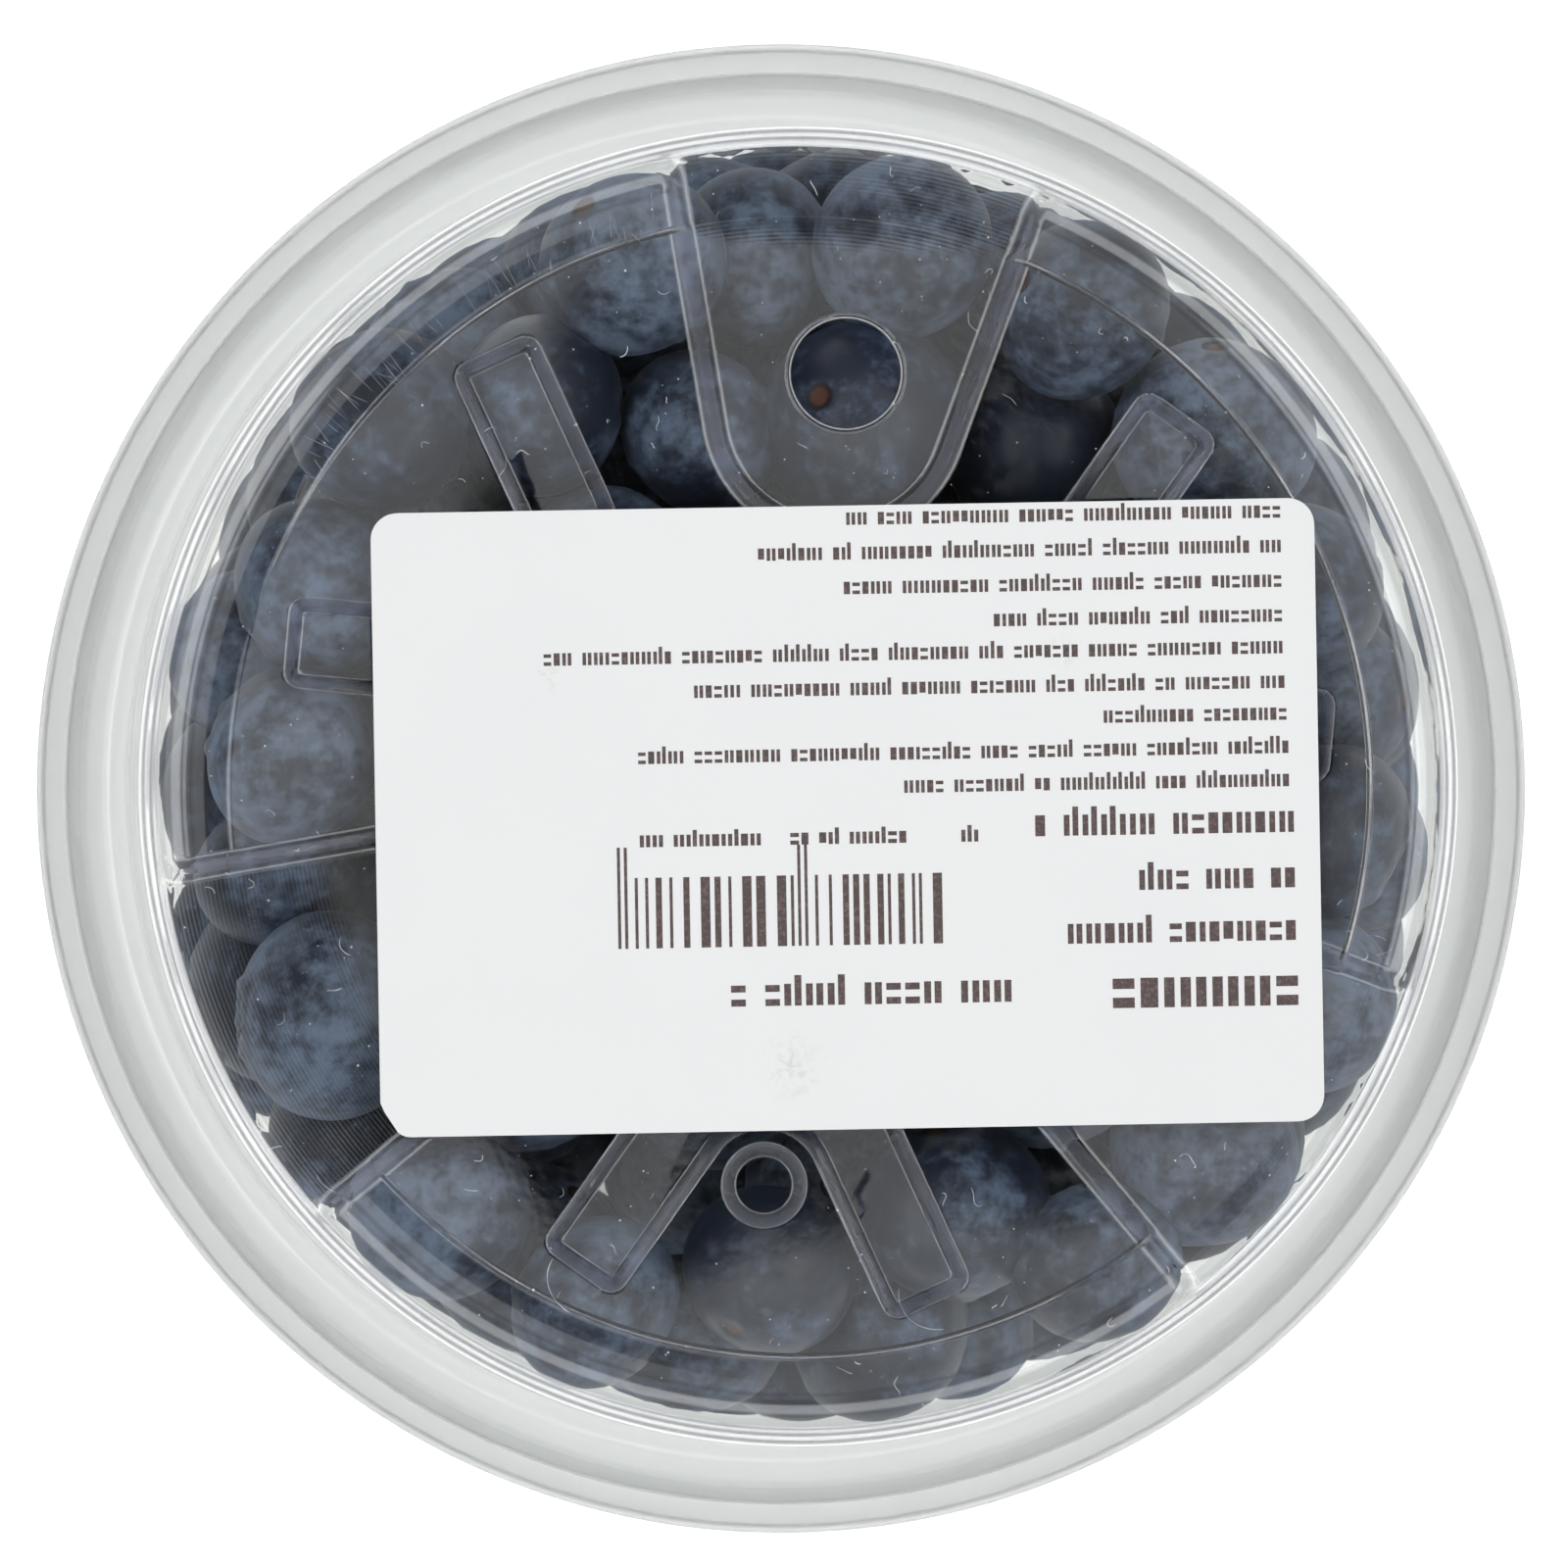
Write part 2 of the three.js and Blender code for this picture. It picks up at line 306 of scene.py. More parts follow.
def channelLine(offset):
    flare = math.radians(channel["flare"])
    radius = channel["endRadius"] + offset
    angles = np.linspace(math.pi + flare, 2 * math.pi - flare, 60)
    end = polar(radius, angles) + [0, channel["endCentre"]]
    side = np.array([math.sin(flare), math.cos(flare)])
    out = end[-1] + side * 30
    mirrored = out * [-1, 1]
    return evenly(np.vstack([mirrored[None], end, out[None]]), 0.7)


def ribLine(offset):
    flare = math.radians(rib["flare"])
    centre = np.array([0, dimple["centre"]])
    along = np.array([math.sin(flare), math.cos(flare)])
    half = rib["width"] / 2 + offset
    outerArc = polar(rib["bend"] + half, np.linspace(math.pi + flare, 2 * math.pi - flare, 60)) + centre
    innerArc = polar(rib["bend"] - half, np.linspace(2 * math.pi - flare, math.pi + flare, 40)) + centre
    ends = []
    for mirror, first, last in ((1, outerArc[-1], innerArc[0]), (-1, innerArc[-1], outerArc[0])):
        reach = along * [mirror, 1]
        a, b = first + reach * rib["leg"], last + reach * rib["leg"]
        sideways = (b - a) / np.linalg.norm(b - a)
        if offset > 0:
            turn = np.linspace(0, math.pi / 2, 7)[:, None]
            inset = sideways * offset
            startArc = a + inset + offset * (-sideways * np.cos(turn) + reach * np.sin(turn))
            endArc = b - inset + offset * (sideways * np.sin(turn) + reach * np.cos(turn))
            ends.append(np.vstack([startArc, endArc]))
        else:
            ends.append(np.array([a + reach * offset, b + reach * offset]))
    loop = np.vstack([outerArc, ends[0], innerArc, ends[1], outerArc[:1]])
    return evenly(loop, 0.6)


def circleLine(radius, count, centre=(0, 0)):
    angles = np.linspace(0, 2 * math.pi, count, endpoint=False)
    return polar(radius, angles) + np.asarray(centre)


def drainCentre():
    return worldFrame(drain["across"], drain["along"], pattern["turn"])


def baseLines():
    lines = []
    for k in range(pattern["sectors"]):
        turn = pattern["turn"] + 360 * k / pattern["sectors"]
        for offset in offsetsOf(channel):
            line = channelLine(offset)
            line = np.stack(worldFrame(line[:, 0], line[:, 1], turn), axis=-1)
            lines.append((line[np.hypot(*line.T) < tub["discRadius"] - 0.12], False))
        ribTurn = turn + 180 / pattern["sectors"]
        for offset in offsetsOf(rib):
            line = ribLine(offset)
            lines.append((np.stack(worldFrame(line[:, 0], line[:, 1], ribTurn), axis=-1)[:-1], True))
        for offset in offsetsOf(dimple):
            line = circleLine(dimple["floor"] + offset, 44, (0, dimple["centre"]))
            lines.append((np.stack(worldFrame(line[:, 0], line[:, 1], ribTurn), axis=-1), True))
    step = tub["stepSpread"]
    for out in (-0.15, 0, 0.11, 0.22, step - 0.22, step - 0.11, step, step + 0.2):
        lines.append((circleLine(tub["panelRadius"] + out, 420), True))
    centre = tub["cornerRadius"] - tub["cornerRound"]
    for out in (-1.1, -0.85, -0.6, -0.3, 0, 0.35, 0.8, 1.25, 1.65, 2.0, 2.3, 2.5):
        lines.append((circleLine(centre + out, tub["around"]), True))
    for out in (0, 0.4, 1.0):
        lines.append((circleLine(drain["radius"] + out, drain["around"], drainCentre()), True))
    lines.append((circleLine(tub["discRadius"], tub["around"]), True))
    return lines


def baseDisc():
    # flat triangles that follow the lines, without the drain hole
    points, edges = [], []
    for line, closed in baseLines():
        start = len(points)
        points += [Vector(p) for p in line]
        edges += [(start + i, start + i + 1) for i in range(len(line) - 1)]
        if closed:
            edges.append((len(points) - 1, start))
    grid = np.arange(-46, 46.1, 2.3)
    for i, y in enumerate(grid):
        shift = 1.15 * (i % 2)
        points += [Vector((x + shift, y)) for x in grid if math.hypot(x + shift, y) < 44]
    flat, _, faces, *_ = delaunay_2d_cdt(points, edges, [], 0, 1e-5, False)
    flat = np.array(flat)
    hole = np.asarray(drainCentre())
    kept = [f for f in faces if np.hypot(*(flat[f].mean(axis=0) - hole)) > drain["radius"] * 0.998]
    used = np.unique(np.concatenate(kept))
    lookup = -np.ones(len(flat), int)
    lookup[used] = np.arange(len(used))
    return flat[used], [[lookup[i] for i in f] for f in kept]


# Profiles of the two sheets, from rows of radius, height and corner rounding

def roundedPath(rows, steps=8):
    rows = [np.array(r, float) for r in rows]
    path = [rows[0][:2]]
    for before, here, after in zip(rows, rows[1:], rows[2:]):
        back, ahead = before[:2] - here[:2], after[:2] - here[:2]
        back, ahead = back / np.linalg.norm(back), ahead / np.linalg.norm(ahead)
        half = math.acos(max(-1.0, min(1.0, float(back @ ahead)))) / 2
        if here[2] <= 0 or math.pi / 2 - half < 1e-3:
            path.append(here[:2])
            continue
        run = here[2] / math.tan(half)
        middle = here[:2] + (back + ahead) / np.linalg.norm(back + ahead) * here[2] / math.sin(half)
        first, last = here[:2] + back * run - middle, here[:2] + ahead * run - middle
        sweep = math.pi - 2 * half
        for t in np.linspace(0, 1, steps):
            weights = math.sin((1 - t) * sweep), math.sin(t * sweep)
            path.append(middle + (first * weights[0] + last * weights[1]) / math.sin(sweep))
    path.append(rows[-1][:2])
    return np.array(path)


def sheetLoop(path, thickness):
    # down one side of the sheet, round its free edge and back along the other side
    along = np.gradient(path, axis=0)
    along /= np.linalg.norm(along, axis=1)[:, None]
    normal = np.stack([along[:, 1], -along[:, 0]], axis=-1)
    far = path + normal * thickness
    tip, middle = along[-1], (path[-1] + far[-1]) / 2
    turn = np.linspace(0, math.pi, 6)[1:-1, None]
    edge = middle + thickness / 2 * (-normal[-1] * np.cos(turn) + tip * np.sin(turn) * 0.8)
    return path, edge, far[::-1]


def turned(loop, angles, start):
    # a ring of points round the axis for each row of radius and height, and the points' numbers
    points = [np.column_stack([polar(radius, angles), np.full(len(angles), height)])
              for radius, height in loop]
    rings = [start + len(angles) * i + np.arange(len(angles)) for i in range(len(loop))]
    return points, rings


def ringFaces(rings, around):
    faces = []
    for upper, lower in zip(rings, rings[1:]):
        for i in range(around):
            j = (i + 1) % around
            faces.append([upper[i], lower[i], lower[j], upper[j]])
    return faces


# tool marks, painted shade as dark lines at the step and the ledge's edge and as a faint darker strip on the
# corner, patches of orange peel with centre, half width and half height, and the level part that has the
# gentle wave
marks = {
    "toolFrom": 34, "toolOver": 7, "stepAt": 0.12, "stepHalf": 0.14, "edgeHalf": 0.1, "edge": 0.45,
    "strip": 0.07, "stripFrom": 0.80, "stripTo": 0.2, "stripSoft": 0.08,
    "peel": 0.25, "peelPatches": [(8, 24, 16, 9), (-15, -27, 30, 6)], "levelTo": 44.5, "levelOver": 1.5,
}


def baseMarksAndShade(points):
    # per point: tool marks on a channel's outer floor, lines of painted shade, orange peel and the level part
    x, y, z = points.T
    r = np.hypot(x, y)
    inChannel, tooled = np.zeros(len(x)), np.zeros(len(x))
    for k in range(pattern["sectors"]):
        across, along = localFrame(x, y, pattern["turn"] + 360 * k / pattern["sectors"])
        floor = 1 - wallRise(channelDistance(across, along), channel["spread"], channel["fillet"])
        inChannel = np.maximum(inChannel, np.where(along > 0, floor, 0))
        tooled = tooled + np.where(along > 0, floor, 0) * channel["toolMarks"][k]
    onBase = (z > topPlane - 6) & (r < tub["cornerRadius"] + 0.001)
    tooled = tooled * onBase * np.clip((r - marks["toolFrom"]) / marks["toolOver"], 0, 1)
    # painted shade: dark lines along the step and the ledge's edge, and a faint darker strip on the corner,
    # stand in for the shade that these folds of clear sheet show
    step = np.exp(-((r - tub["panelRadius"] - marks["stepAt"]) / marks["stepHalf"]) ** 2)
    high = np.clip((panelHeight(x, y) - topPlane + tub["panelStep"]) / tub["panelStep"], 0, 1)
    edge = np.exp(-((r - tub["cornerRadius"] + tub["cornerRound"]) / marks["edgeHalf"]) ** 2) * marks["edge"]
    line = np.maximum(step * high ** 0.5, edge) * (1 - inChannel)
    out = r - tub["cornerRadius"]
    strip = (marks["strip"] * np.clip((out + marks["stripFrom"]) / marks["stripSoft"], 0, 1)
             * np.clip((-out - marks["stripTo"]) / marks["stripSoft"], 0, 1))
    line = np.maximum(line, strip) * onBase
    patch = sum(np.exp(-((x - px) / wide) ** 2 - ((y - py) / tall) ** 2)
                for px, py, wide, tall in marks["peelPatches"])
    peeled = np.clip(marks["peel"] + patch, 0, 1) * onBase * (1 - inChannel) * (r < tub["panelRadius"])
    level = onBase * np.clip((marks["levelTo"] - r) / marks["levelOver"], 0, 1)
    return {"tooled": tooled, "paintedShadeLine": line, "peeled": peeled, "levelBase": level}


def tubMesh():
    flat, discFaces = baseDisc()
    x, y = flat.T
    r = np.hypot(x, y)
    outer = np.column_stack([x, y, baseHeight(x, y)])
    centre = tub["cornerRadius"] - tub["cornerRound"]
    lean = np.clip(r - centre, 0, None) / tub["cornerRound"]
    upright = np.sqrt(1 - lean ** 2)
    unit = flat / np.maximum(r, 1e-9)[:, None]
    normal = np.column_stack([unit * lean[:, None], upright])
    step = 0.01
    slopeX = (baseHeight(x + step, y) - baseHeight(x - step, y)) / (2 * step)
    slopeY = (baseHeight(x, y + step) - baseHeight(x, y - step)) / (2 * step)
    up = np.column_stack([-slopeX, -slopeY, np.ones(len(flat))])
    up /= np.linalg.norm(up, axis=1)[:, None]
    inner = outer - normal * tub["sheet"]
    pockets = (r < tub["cornerRadius"] - tub["cornerRound"])[:, None]
    inner[:, :2] -= tub["drawnAside"] * tub["sheet"] * up[:, :2] * pockets
    hole = np.asarray(drainCentre())
    fromHole = flat - hole
    reach = np.hypot(*fromHole.T)
    mouth = np.where(np.abs(reach - drain["radius"]) < 1e-3)[0]
    inner[mouth, :2] = hole + fromHole[mouth] * (1 - drain["bevel"] / drain["radius"])
    count = len(flat)
    points = [outer, inner]
    up[(r > tub["discRadius"] - 0.3) | (reach < drain["radius"] + 0.01)] = 0  # Blender works these out
    faces = [f for f in discFaces] + [[i + count for i in reversed(f)] for f in discFaces]
    border = np.where(r > tub["discRadius"] - 1e-3)[0]
    border = border[np.argsort(np.arctan2(y[border], x[border]))]
    angles = np.arctan2(y[border], x[border])
    level = topPlane - tub["panelStep"] - tub["cornerRound"]
    top = (tub["discRadius"], float(plainHeight(0.0, 0.0, np.array(tub["discRadius"]))), 0)
    wall = roundedPath([
        top, *tub["shoulder"], (tub["cornerRadius"] + 0.06, level, 0.5),
        (tub["footRadius"], tub["flangeTop"], tub["flangeRound"]),
        (tub["skirtFoot"], tub["flangeTop"], tub["skirtRound"]), (tub["skirtTip"], tub["skirtTop"], 0),
    ])
    near, edge, far = sheetLoop(wall, tub["sheet"])
    loop = np.vstack([near[1:], edge, far[:-1]])
    ringPoints, rings = turned(loop, angles, 2 * count)
    points += ringPoints
    faces += ringFaces([border, *rings, border + count], len(border))
    mouth = mouth[np.argsort(np.arctan2(*(flat[mouth] - hole).T[::-1]))]
    faces += ringFaces([mouth + count, mouth], len(mouth))
    points = np.vstack(points)
    normals = np.zeros_like(points)
    normals[:count], normals[count:2 * count] = up, -up
    return points, faces, normals


# where the rim, the base's corner and the pockets' steep sides begin, and how clear they and the wall are
rim = {"from": 50.6, "below": 8.5, "clarity": 0.62, "cornerFrom": 46.3, "cornerAbove": 54.5,
       "cornerClarity": 0.8, "steep": 0.76, "steepClarity": 0.95, "wallClarity": 0.97}
sheetParts = ["panel", "rim", "cut", "wall", "corner", "slope"]    # in the order of a sheet's materials


def partOfSheet(x, y, z, steepness):
    # flanges, skirts and the base's corner are milkier than walls, and the drain hole's cut edge is white
    out, hole = math.hypot(x, y), drainCentre()
    if out > rim["from"] and z < rim["below"]:
        return "rim"
    if math.hypot(x - hole[0], y - hole[1]) < drain["radius"] and z > topPlane / 2:
        return "cut"
    if out > rim["cornerFrom"]:
        return "corner" if z > rim["cornerAbove"] else "wall"
    return "slope" if steepness < rim["steep"] and z > topPlane / 2 else "panel"


def sortFaces(piece, *materials):
    # gives each face of a sheet its own kind of plastic, where the piece has that kind
    mesh = piece.data
    for material in materials:
        mesh.materials.append(material)
    for face in mesh.polygons:
        index = sheetParts.index(partOfSheet(*(face.center / mm), abs(face.normal.z)))
        face.material_index = index if index < len(mesh.materials) else 0


lid = {
    "sheet": 0.32, "panelTop": 3.5, "panelRadius": 48.1, "ringInner": 48.7, "ringTop": 0.5,
    "ringOuter": 55.3, "skirtTip": 56.6, "skirtTop": 7.25, "lipTop": 7.5, "round": 0.9, "skirtRound": 1.0,
    "lipRound": 0.8, "around": 288,
}


def lidMesh():
    path = roundedPath([
        (0.0, lid["panelTop"], 0), (lid["panelRadius"], lid["panelTop"], lid["round"]),
        (lid["ringInner"], lid["ringTop"], lid["round"]),
        (lid["ringOuter"], lid["ringTop"], lid["skirtRound"]),
        (lid["skirtTip"], lid["skirtTop"], lid["lipRound"]), (lipRadius - 0.2, lid["lipTop"], 0),
    ])
    panel = [[r, lid["panelTop"]] for r in (12, 24, 36, 44, 47)]
    path = np.vstack([path[:1], panel, path[1:]])
    near, edge, far = sheetLoop(path, lid["sheet"])
    loop = np.vstack([near[1:], edge, far[:-1]])
    around = lid["around"]
    angles = np.linspace(0, 2 * math.pi, around, endpoint=False)
    ringPoints, rings = turned(loop, angles, 2)
    points = [np.array([[0, 0, near[0][1]], [0, 0, far[-1][1]]]), *ringPoints]
    faces = ringFaces(rings, around)
    for i in range(around):
        j = (i + 1) % around
        faces.append([0, rings[0][i], rings[0][j]])
        faces.append([1, rings[-1][j], rings[-1][i]])
    return np.vstack(points), faces


# Berries: the same draws and pushes as the solid heap, so the real ones lie where it is

heap = {
    "seed": 29, "count": 152, "smallest": 12.2, "spread": 3.9, "rounds": 160, "hold": 0.3,
    "looseRounds": 25, "sheet": 0.5, "gap": 0.3, "rimBottom": 0.9, "lidPanel": 3.0,
}
shownBerries = [
    (7.6, 40, 13.9, 0), (4.1, 27.4, 15.2, 0), (-3.6, 38.6, 13.4, 1.2), (-11.8, 37, 13.9, 0),
    (-18.6, 28.6, 13.6, 0), (-29.6, 26.8, 13.9, 0), (-9.6, 25.8, 12.9, 3.4), (-27.4, 35.4, 12.6, 3),
    (-34.6, 14.6, 13.6, 0), (-36.8, 2, 13.2, 0), (-37.4, -6.2, 12.6, 3), (-34.2, -16.2, 15.4, 0),
    (-34.4, -25.6, 13, 2.6), (-26.4, -31.6, 13.4, 0), (-14.6, -37.6, 13.3, 0), (-1.8, -34.8, 12.8, 0),
    (12.2, -31.6, 14.6, 0), (0, -41, 12.6, 3), (12, -40, 12.8, 2.6), (22.4, -34.6, 12.7, 1.6),
    (29.8, -28.4, 14.4, 0), (38, -16.2, 13.4, 0), (38.6, -3.4, 13.2, 1), (38.8, 7.4, 12.9, 1),
    (36.6, 14.4, 13, 2), (31.2, 25.8, 15, 0), (21.4, 34.6, 13.6, 0), (17.4, 25.8, 13.6, 2.4),
]


def roomRadius(level):
    span = topPlane - tub["panelStep"] - tub["cornerRound"] - heap["rimBottom"]
    rise = (level - heap["rimBottom"]) / span
    wide = tub["footRadius"] + (tub["cornerRadius"] - tub["footRadius"]) * rise
    return wide - heap["sheet"] - heap["gap"]


def heapLevels():
    return heap["lidPanel"] + heap["sheet"] + heap["gap"], topPlane - heap["sheet"] - heap["gap"]


def shownHomes():
    ceiling = heapLevels()[1]
    return [(x, y, ceiling - drop - size / 2) for x, y, size, drop in shownBerries]


def packBerries():
    draw = drawFrom(heap["seed"])
    floor, ceiling = heapLevels()
    homes = shownHomes()
    places = [list(home) for home in homes]
    radii = [size / 2 for _, _, size, _ in shownBerries]
    wide = tub["footRadius"]
    while len(places) < heap["count"]:
        x = (2 * next(draw) - 1) * wide
        y = (2 * next(draw) - 1) * wide
        z = floor + next(draw) * (ceiling - floor)
        radius = (heap["smallest"] + heap["spread"] * next(draw)) / 2
        if x * x + y * y < wide * wide:
            places.append([x, y, z])
            radii.append(radius)
    for turn in range(heap["rounds"]):
        for i in range(len(places)):
            first = places[i]
            for j in range(i + 1, len(places)):
                second = places[j]
                dx, dy, dz = second[0] - first[0], second[1] - first[1], second[2] - first[2]
                reach = radii[i] + radii[j]
                square = dx * dx + dy * dy + dz * dz
                if square >= reach * reach or square == 0:
                    continue
                apart = math.sqrt(square)
                share = 0.5 * (reach - apart) / apart
                for axis, step in enumerate((dx, dy, dz)):
                    first[axis] -= step * share
                    second[axis] += step * share
        for i, at in enumerate(places):
            if i < len(homes) and turn < heap["rounds"] - heap["looseRounds"]:
                for axis in range(3):
                    at[axis] += (homes[i][axis] - at[axis]) * heap["hold"]
            at[2] = min(max(at[2], floor + radii[i]), ceiling - radii[i])
            limit = roomRadius(at[2]) - radii[i]
            out = math.sqrt(at[0] * at[0] + at[1] * at[1])
            if out > limit:
                at[0] *= limit / out
                at[1] *= limit / out
    return np.array(places), np.array(radii)


seating = {"rounds": 120, "hold": 0.45, "holdHeight": 0.3, "share": 0.6, "below": 3.5,
           "moved": {15: (-2.0, -35.4, 0.0), 16: (12.6, -32.0, 0.0), 17: (1.0, -43.0, 6.0),
                     14: (-14.8, -37.8, 0.0)}}


def seatShown(places, radii):
    # the berries that show go back towards their own places, and the others make room
    count = len(shownBerries)
    floor, ceiling = heapLevels()
    homes = np.array(shownHomes())
    for i, (x, y, drop) in seating["moved"].items():
        homes[i] = x, y, ceiling - drop - radii[i]
    topmost = np.array([drop == 0 for *_, drop in shownBerries])
    most = ceiling - radii - np.where(np.arange(len(radii)) < count, 0, seating["below"])
    far = np.eye(len(places)) * 1e3
    for _ in range(seating["rounds"]):
        gap = places[:, None] - places[None]
        apart = np.sqrt((gap ** 2).sum(axis=2)) + far
        lack = np.clip(radii[:, None] + radii[None] - apart, 0, None) / apart * seating["share"]
        places = places + (gap * lack[:, :, None]).sum(axis=1)
        places[:count, :2] += (homes[:, :2] - places[:count, :2]) * seating["hold"]
        places[:count, 2] += (homes[:, 2] - places[:count, 2]) * seating["holdHeight"] * topmost
        places[:, 2] = np.clip(places[:, 2], floor + radii, most)
        out = np.hypot(places[:, 0], places[:, 1])
        places[:, :2] *= np.minimum(1, (roomRadius(places[:, 2]) - radii) / np.maximum(out, 1e-9))[:, None]
    return places


berryForms = [
    {"flat": 0.90, "crown": 0.36, "star": 0.16, "deep": 0.11, "uneven": 0.020, "seed": 3},
    {"flat": 0.94, "crown": 0.33, "star": 0.24, "deep": 0.09, "uneven": 0.028, "seed": 8},
    {"flat": 0.87, "crown": 0.39, "star": 0.12, "deep": 0.13, "uneven": 0.018, "seed": 15},
    {"flat": 0.92, "crown": 0.30, "star": 0.28, "deep": 0.08, "uneven": 0.032, "seed": 21},
]
calyx = {"rim": 0.055, "rimWidth": 0.17, "lobes": 5, "pit": 0.03, "scarRadius": 0.13, "scarDepth": 0.035}


def berryShape(name, form, around, down, material):
    # unit berry, its crown at +Z and its stem scar at -Z, with masks for both
    t = np.linspace(0, 1, down + 1)
    tilt = math.pi * (t - 0.115 * np.sin(2 * math.pi * t))
    turn = np.linspace(0, 2 * math.pi, around, endpoint=False)
    tilt, turn = np.meshgrid(tilt[1:-1], turn, indexing="ij")
    tilt = np.concatenate([[0.0], tilt.ravel(), [math.pi]])
    turn = np.concatenate([[0.0], turn.ravel(), [0.0]])
    draw = drawFrom(form["seed"])
    x, y, z = np.sin(tilt) * np.cos(turn), np.sin(tilt) * np.sin(turn), np.cos(tilt)
    swell = np.zeros_like(x)
    for k in range(7):
        a, b, c, phase = [2 * next(draw) - 1 for _ in range(4)]
        swell += np.sin(2.6 * (a * x + b * y + c * z) + 6.3 * phase) / 3
    radius = 1 + form["uneven"] * swell
    top = z > 0
    wave = np.cos(calyx["lobes"] * turn + 0.4 * np.sin(turn + form["seed"]))
    across = np.sin(tilt) / (form["crown"] * (1 + form["star"] * wave * 0.5))
    inside = np.clip((1 - across) / 0.5, 0, 1)
    sink = inside * inside * (3 - 2 * inside) * top
    lobe = 0.35 + 0.65 * np.maximum(wave, 0)
    lip = np.exp(-((across - 1.08) / calyx["rimWidth"]) ** 2) * lobe * top
    pit = np.exp(-(np.sin(tilt) / 0.07) ** 2) * top
    scar = np.exp(-(np.sin(tilt) / calyx["scarRadius"]) ** 4) * ~top
    radius = radius - form["deep"] * sink + calyx["rim"] * lip
    radius = radius - calyx["pit"] * pit - calyx["scarDepth"] * scar
    points = np.column_stack([x * radius, y * radius, z * radius * form["flat"]])
    rows = down - 1
    index = lambda i, j: 1 + i * around + j % around
    faces = [[0, index(0, j), index(0, j + 1)] for j in range(around)]
    for i in range(rows - 1):
        faces += [[index(i, j), index(i + 1, j), index(i + 1, j + 1), index(i, j + 1)] for j in range(around)]
    last = 1 + rows * around
    faces += [[last, index(rows - 1, j + 1), index(rows - 1, j)] for j in range(around)]
    shape = makePiece(name, points / mm, faces, material)
    markPoints(shape, {"crown": sink, "calyxTip": lip, "scar": scar})
    return shape


def facing(azimuth, elevation, spin):
    # Euler turn that points a berry's crown that way
    way = (Matrix.Rotation(math.radians(azimuth), 3, "Z")
           @ Matrix.Rotation(math.radians(90 - elevation), 3, "Y") @ Matrix.Rotation(spin, 3, "Z"))
    return list(way.to_euler("XYZ"))


# where the crowns of some of them point, by their place in the list of shown berries: azimuth and elevation
shownCrowns = {0: (160, 52), 1: (-27, -58), 11: (180, 8), 20: (60, 42), 21: (200, 78), 7: (120, 25)}

# how much bloom some of them show, against 0 to 1 for the rest
shownTones = {
    0: 1.0, 1: 0.0, 2: 0.8, 3: 0.9, 7: 1.4, 9: 0.9, 11: 0.9, 14: 0.7, 15: -0.4, 16: 0.2, 18: 0.6,
    20: 1.2, 21: 1.3, 25: 0.9, 27: -1.2,
}


def berryTurns(count):
    draw = drawFrom(5)
    turns = []
    for i in range(count):
        azimuth, spread, spin = 360 * next(draw), next(draw), 2 * math.pi * next(draw)
        elevation = -35 + 45 * spread if i < len(shownBerries) else math.degrees(math.asin(2 * spread - 1))
        if i in shownCrowns:
            azimuth, elevation = shownCrowns[i]
        turns.append(facing(azimuth, elevation, spin))
    return np.array(turns)


# how far berries press into the base, and the room kept to the sheets
pressing = {"into": 0.35, "shares": (0.0, 0.45, 0.75, 0.92), "underBase": 0.1, "overLid": 0.12,
            "atWall": 0.12}


def lowerUnderBase(places, radii):
    # a berry below a channel or a rib sits lower, pressed a little against it
    for at, radius in zip(places, radii):
        limit = at[2]
        for share in pressing["shares"]:
            rise = radius * math.sqrt(1 - share * share)
            ring = polar(radius * share, np.linspace(0, 2 * math.pi, 12, endpoint=False)) + at[:2]
            ring = ring[np.hypot(*ring.T) < tub["cornerRadius"] - 1]
            if len(ring):
                lowest = baseHeight(ring[:, 0], ring[:, 1]).min()
                limit = min(limit, lowest - tub["sheet"] - rise + pressing["into"])
        at[2] = limit


filling = {"tries": 9000, "overlap": 1.1, "smallest": 5.1, "largest": 6.7, "seed": 83}


def fillGaps(places, radii):
    # smaller berries go where the heap still has room for them
    draw = drawFrom(filling["seed"])
    floor, ceiling = lid["panelTop"] + 0.2, topPlane - 3.2
    places, radii = list(map(tuple, places)), list(radii)
    for _ in range(filling["tries"]):
        x, y = ((2 * next(draw) - 1) * tub["footRadius"] for _ in range(2))
        z = floor + next(draw) * (ceiling - floor)
        side = roomRadius(z) - math.hypot(x, y)
        room = min(side, z - floor, ceiling - z)
        if room < filling["smallest"]:
            continue
        known = np.array(places)
        gap = (np.sqrt(((known - (x, y, z)) ** 2).sum(axis=1)) - np.array(radii)).min() + filling["overlap"]
        room = min(room, gap, filling["largest"])
        if room >= filling["smallest"]:
            places.append((x, y, z))
            radii.append(room)
    return np.array(places), np.array(radii)


backing = {"step": 0.9, "within": 42.6, "outer": 4.6, "overlap": 3.6, "smallest": 4.2, "largest": 6.3,
           "levels": (44.0, 40.0, 35.0, 29.0, 22.0, 15.0)}


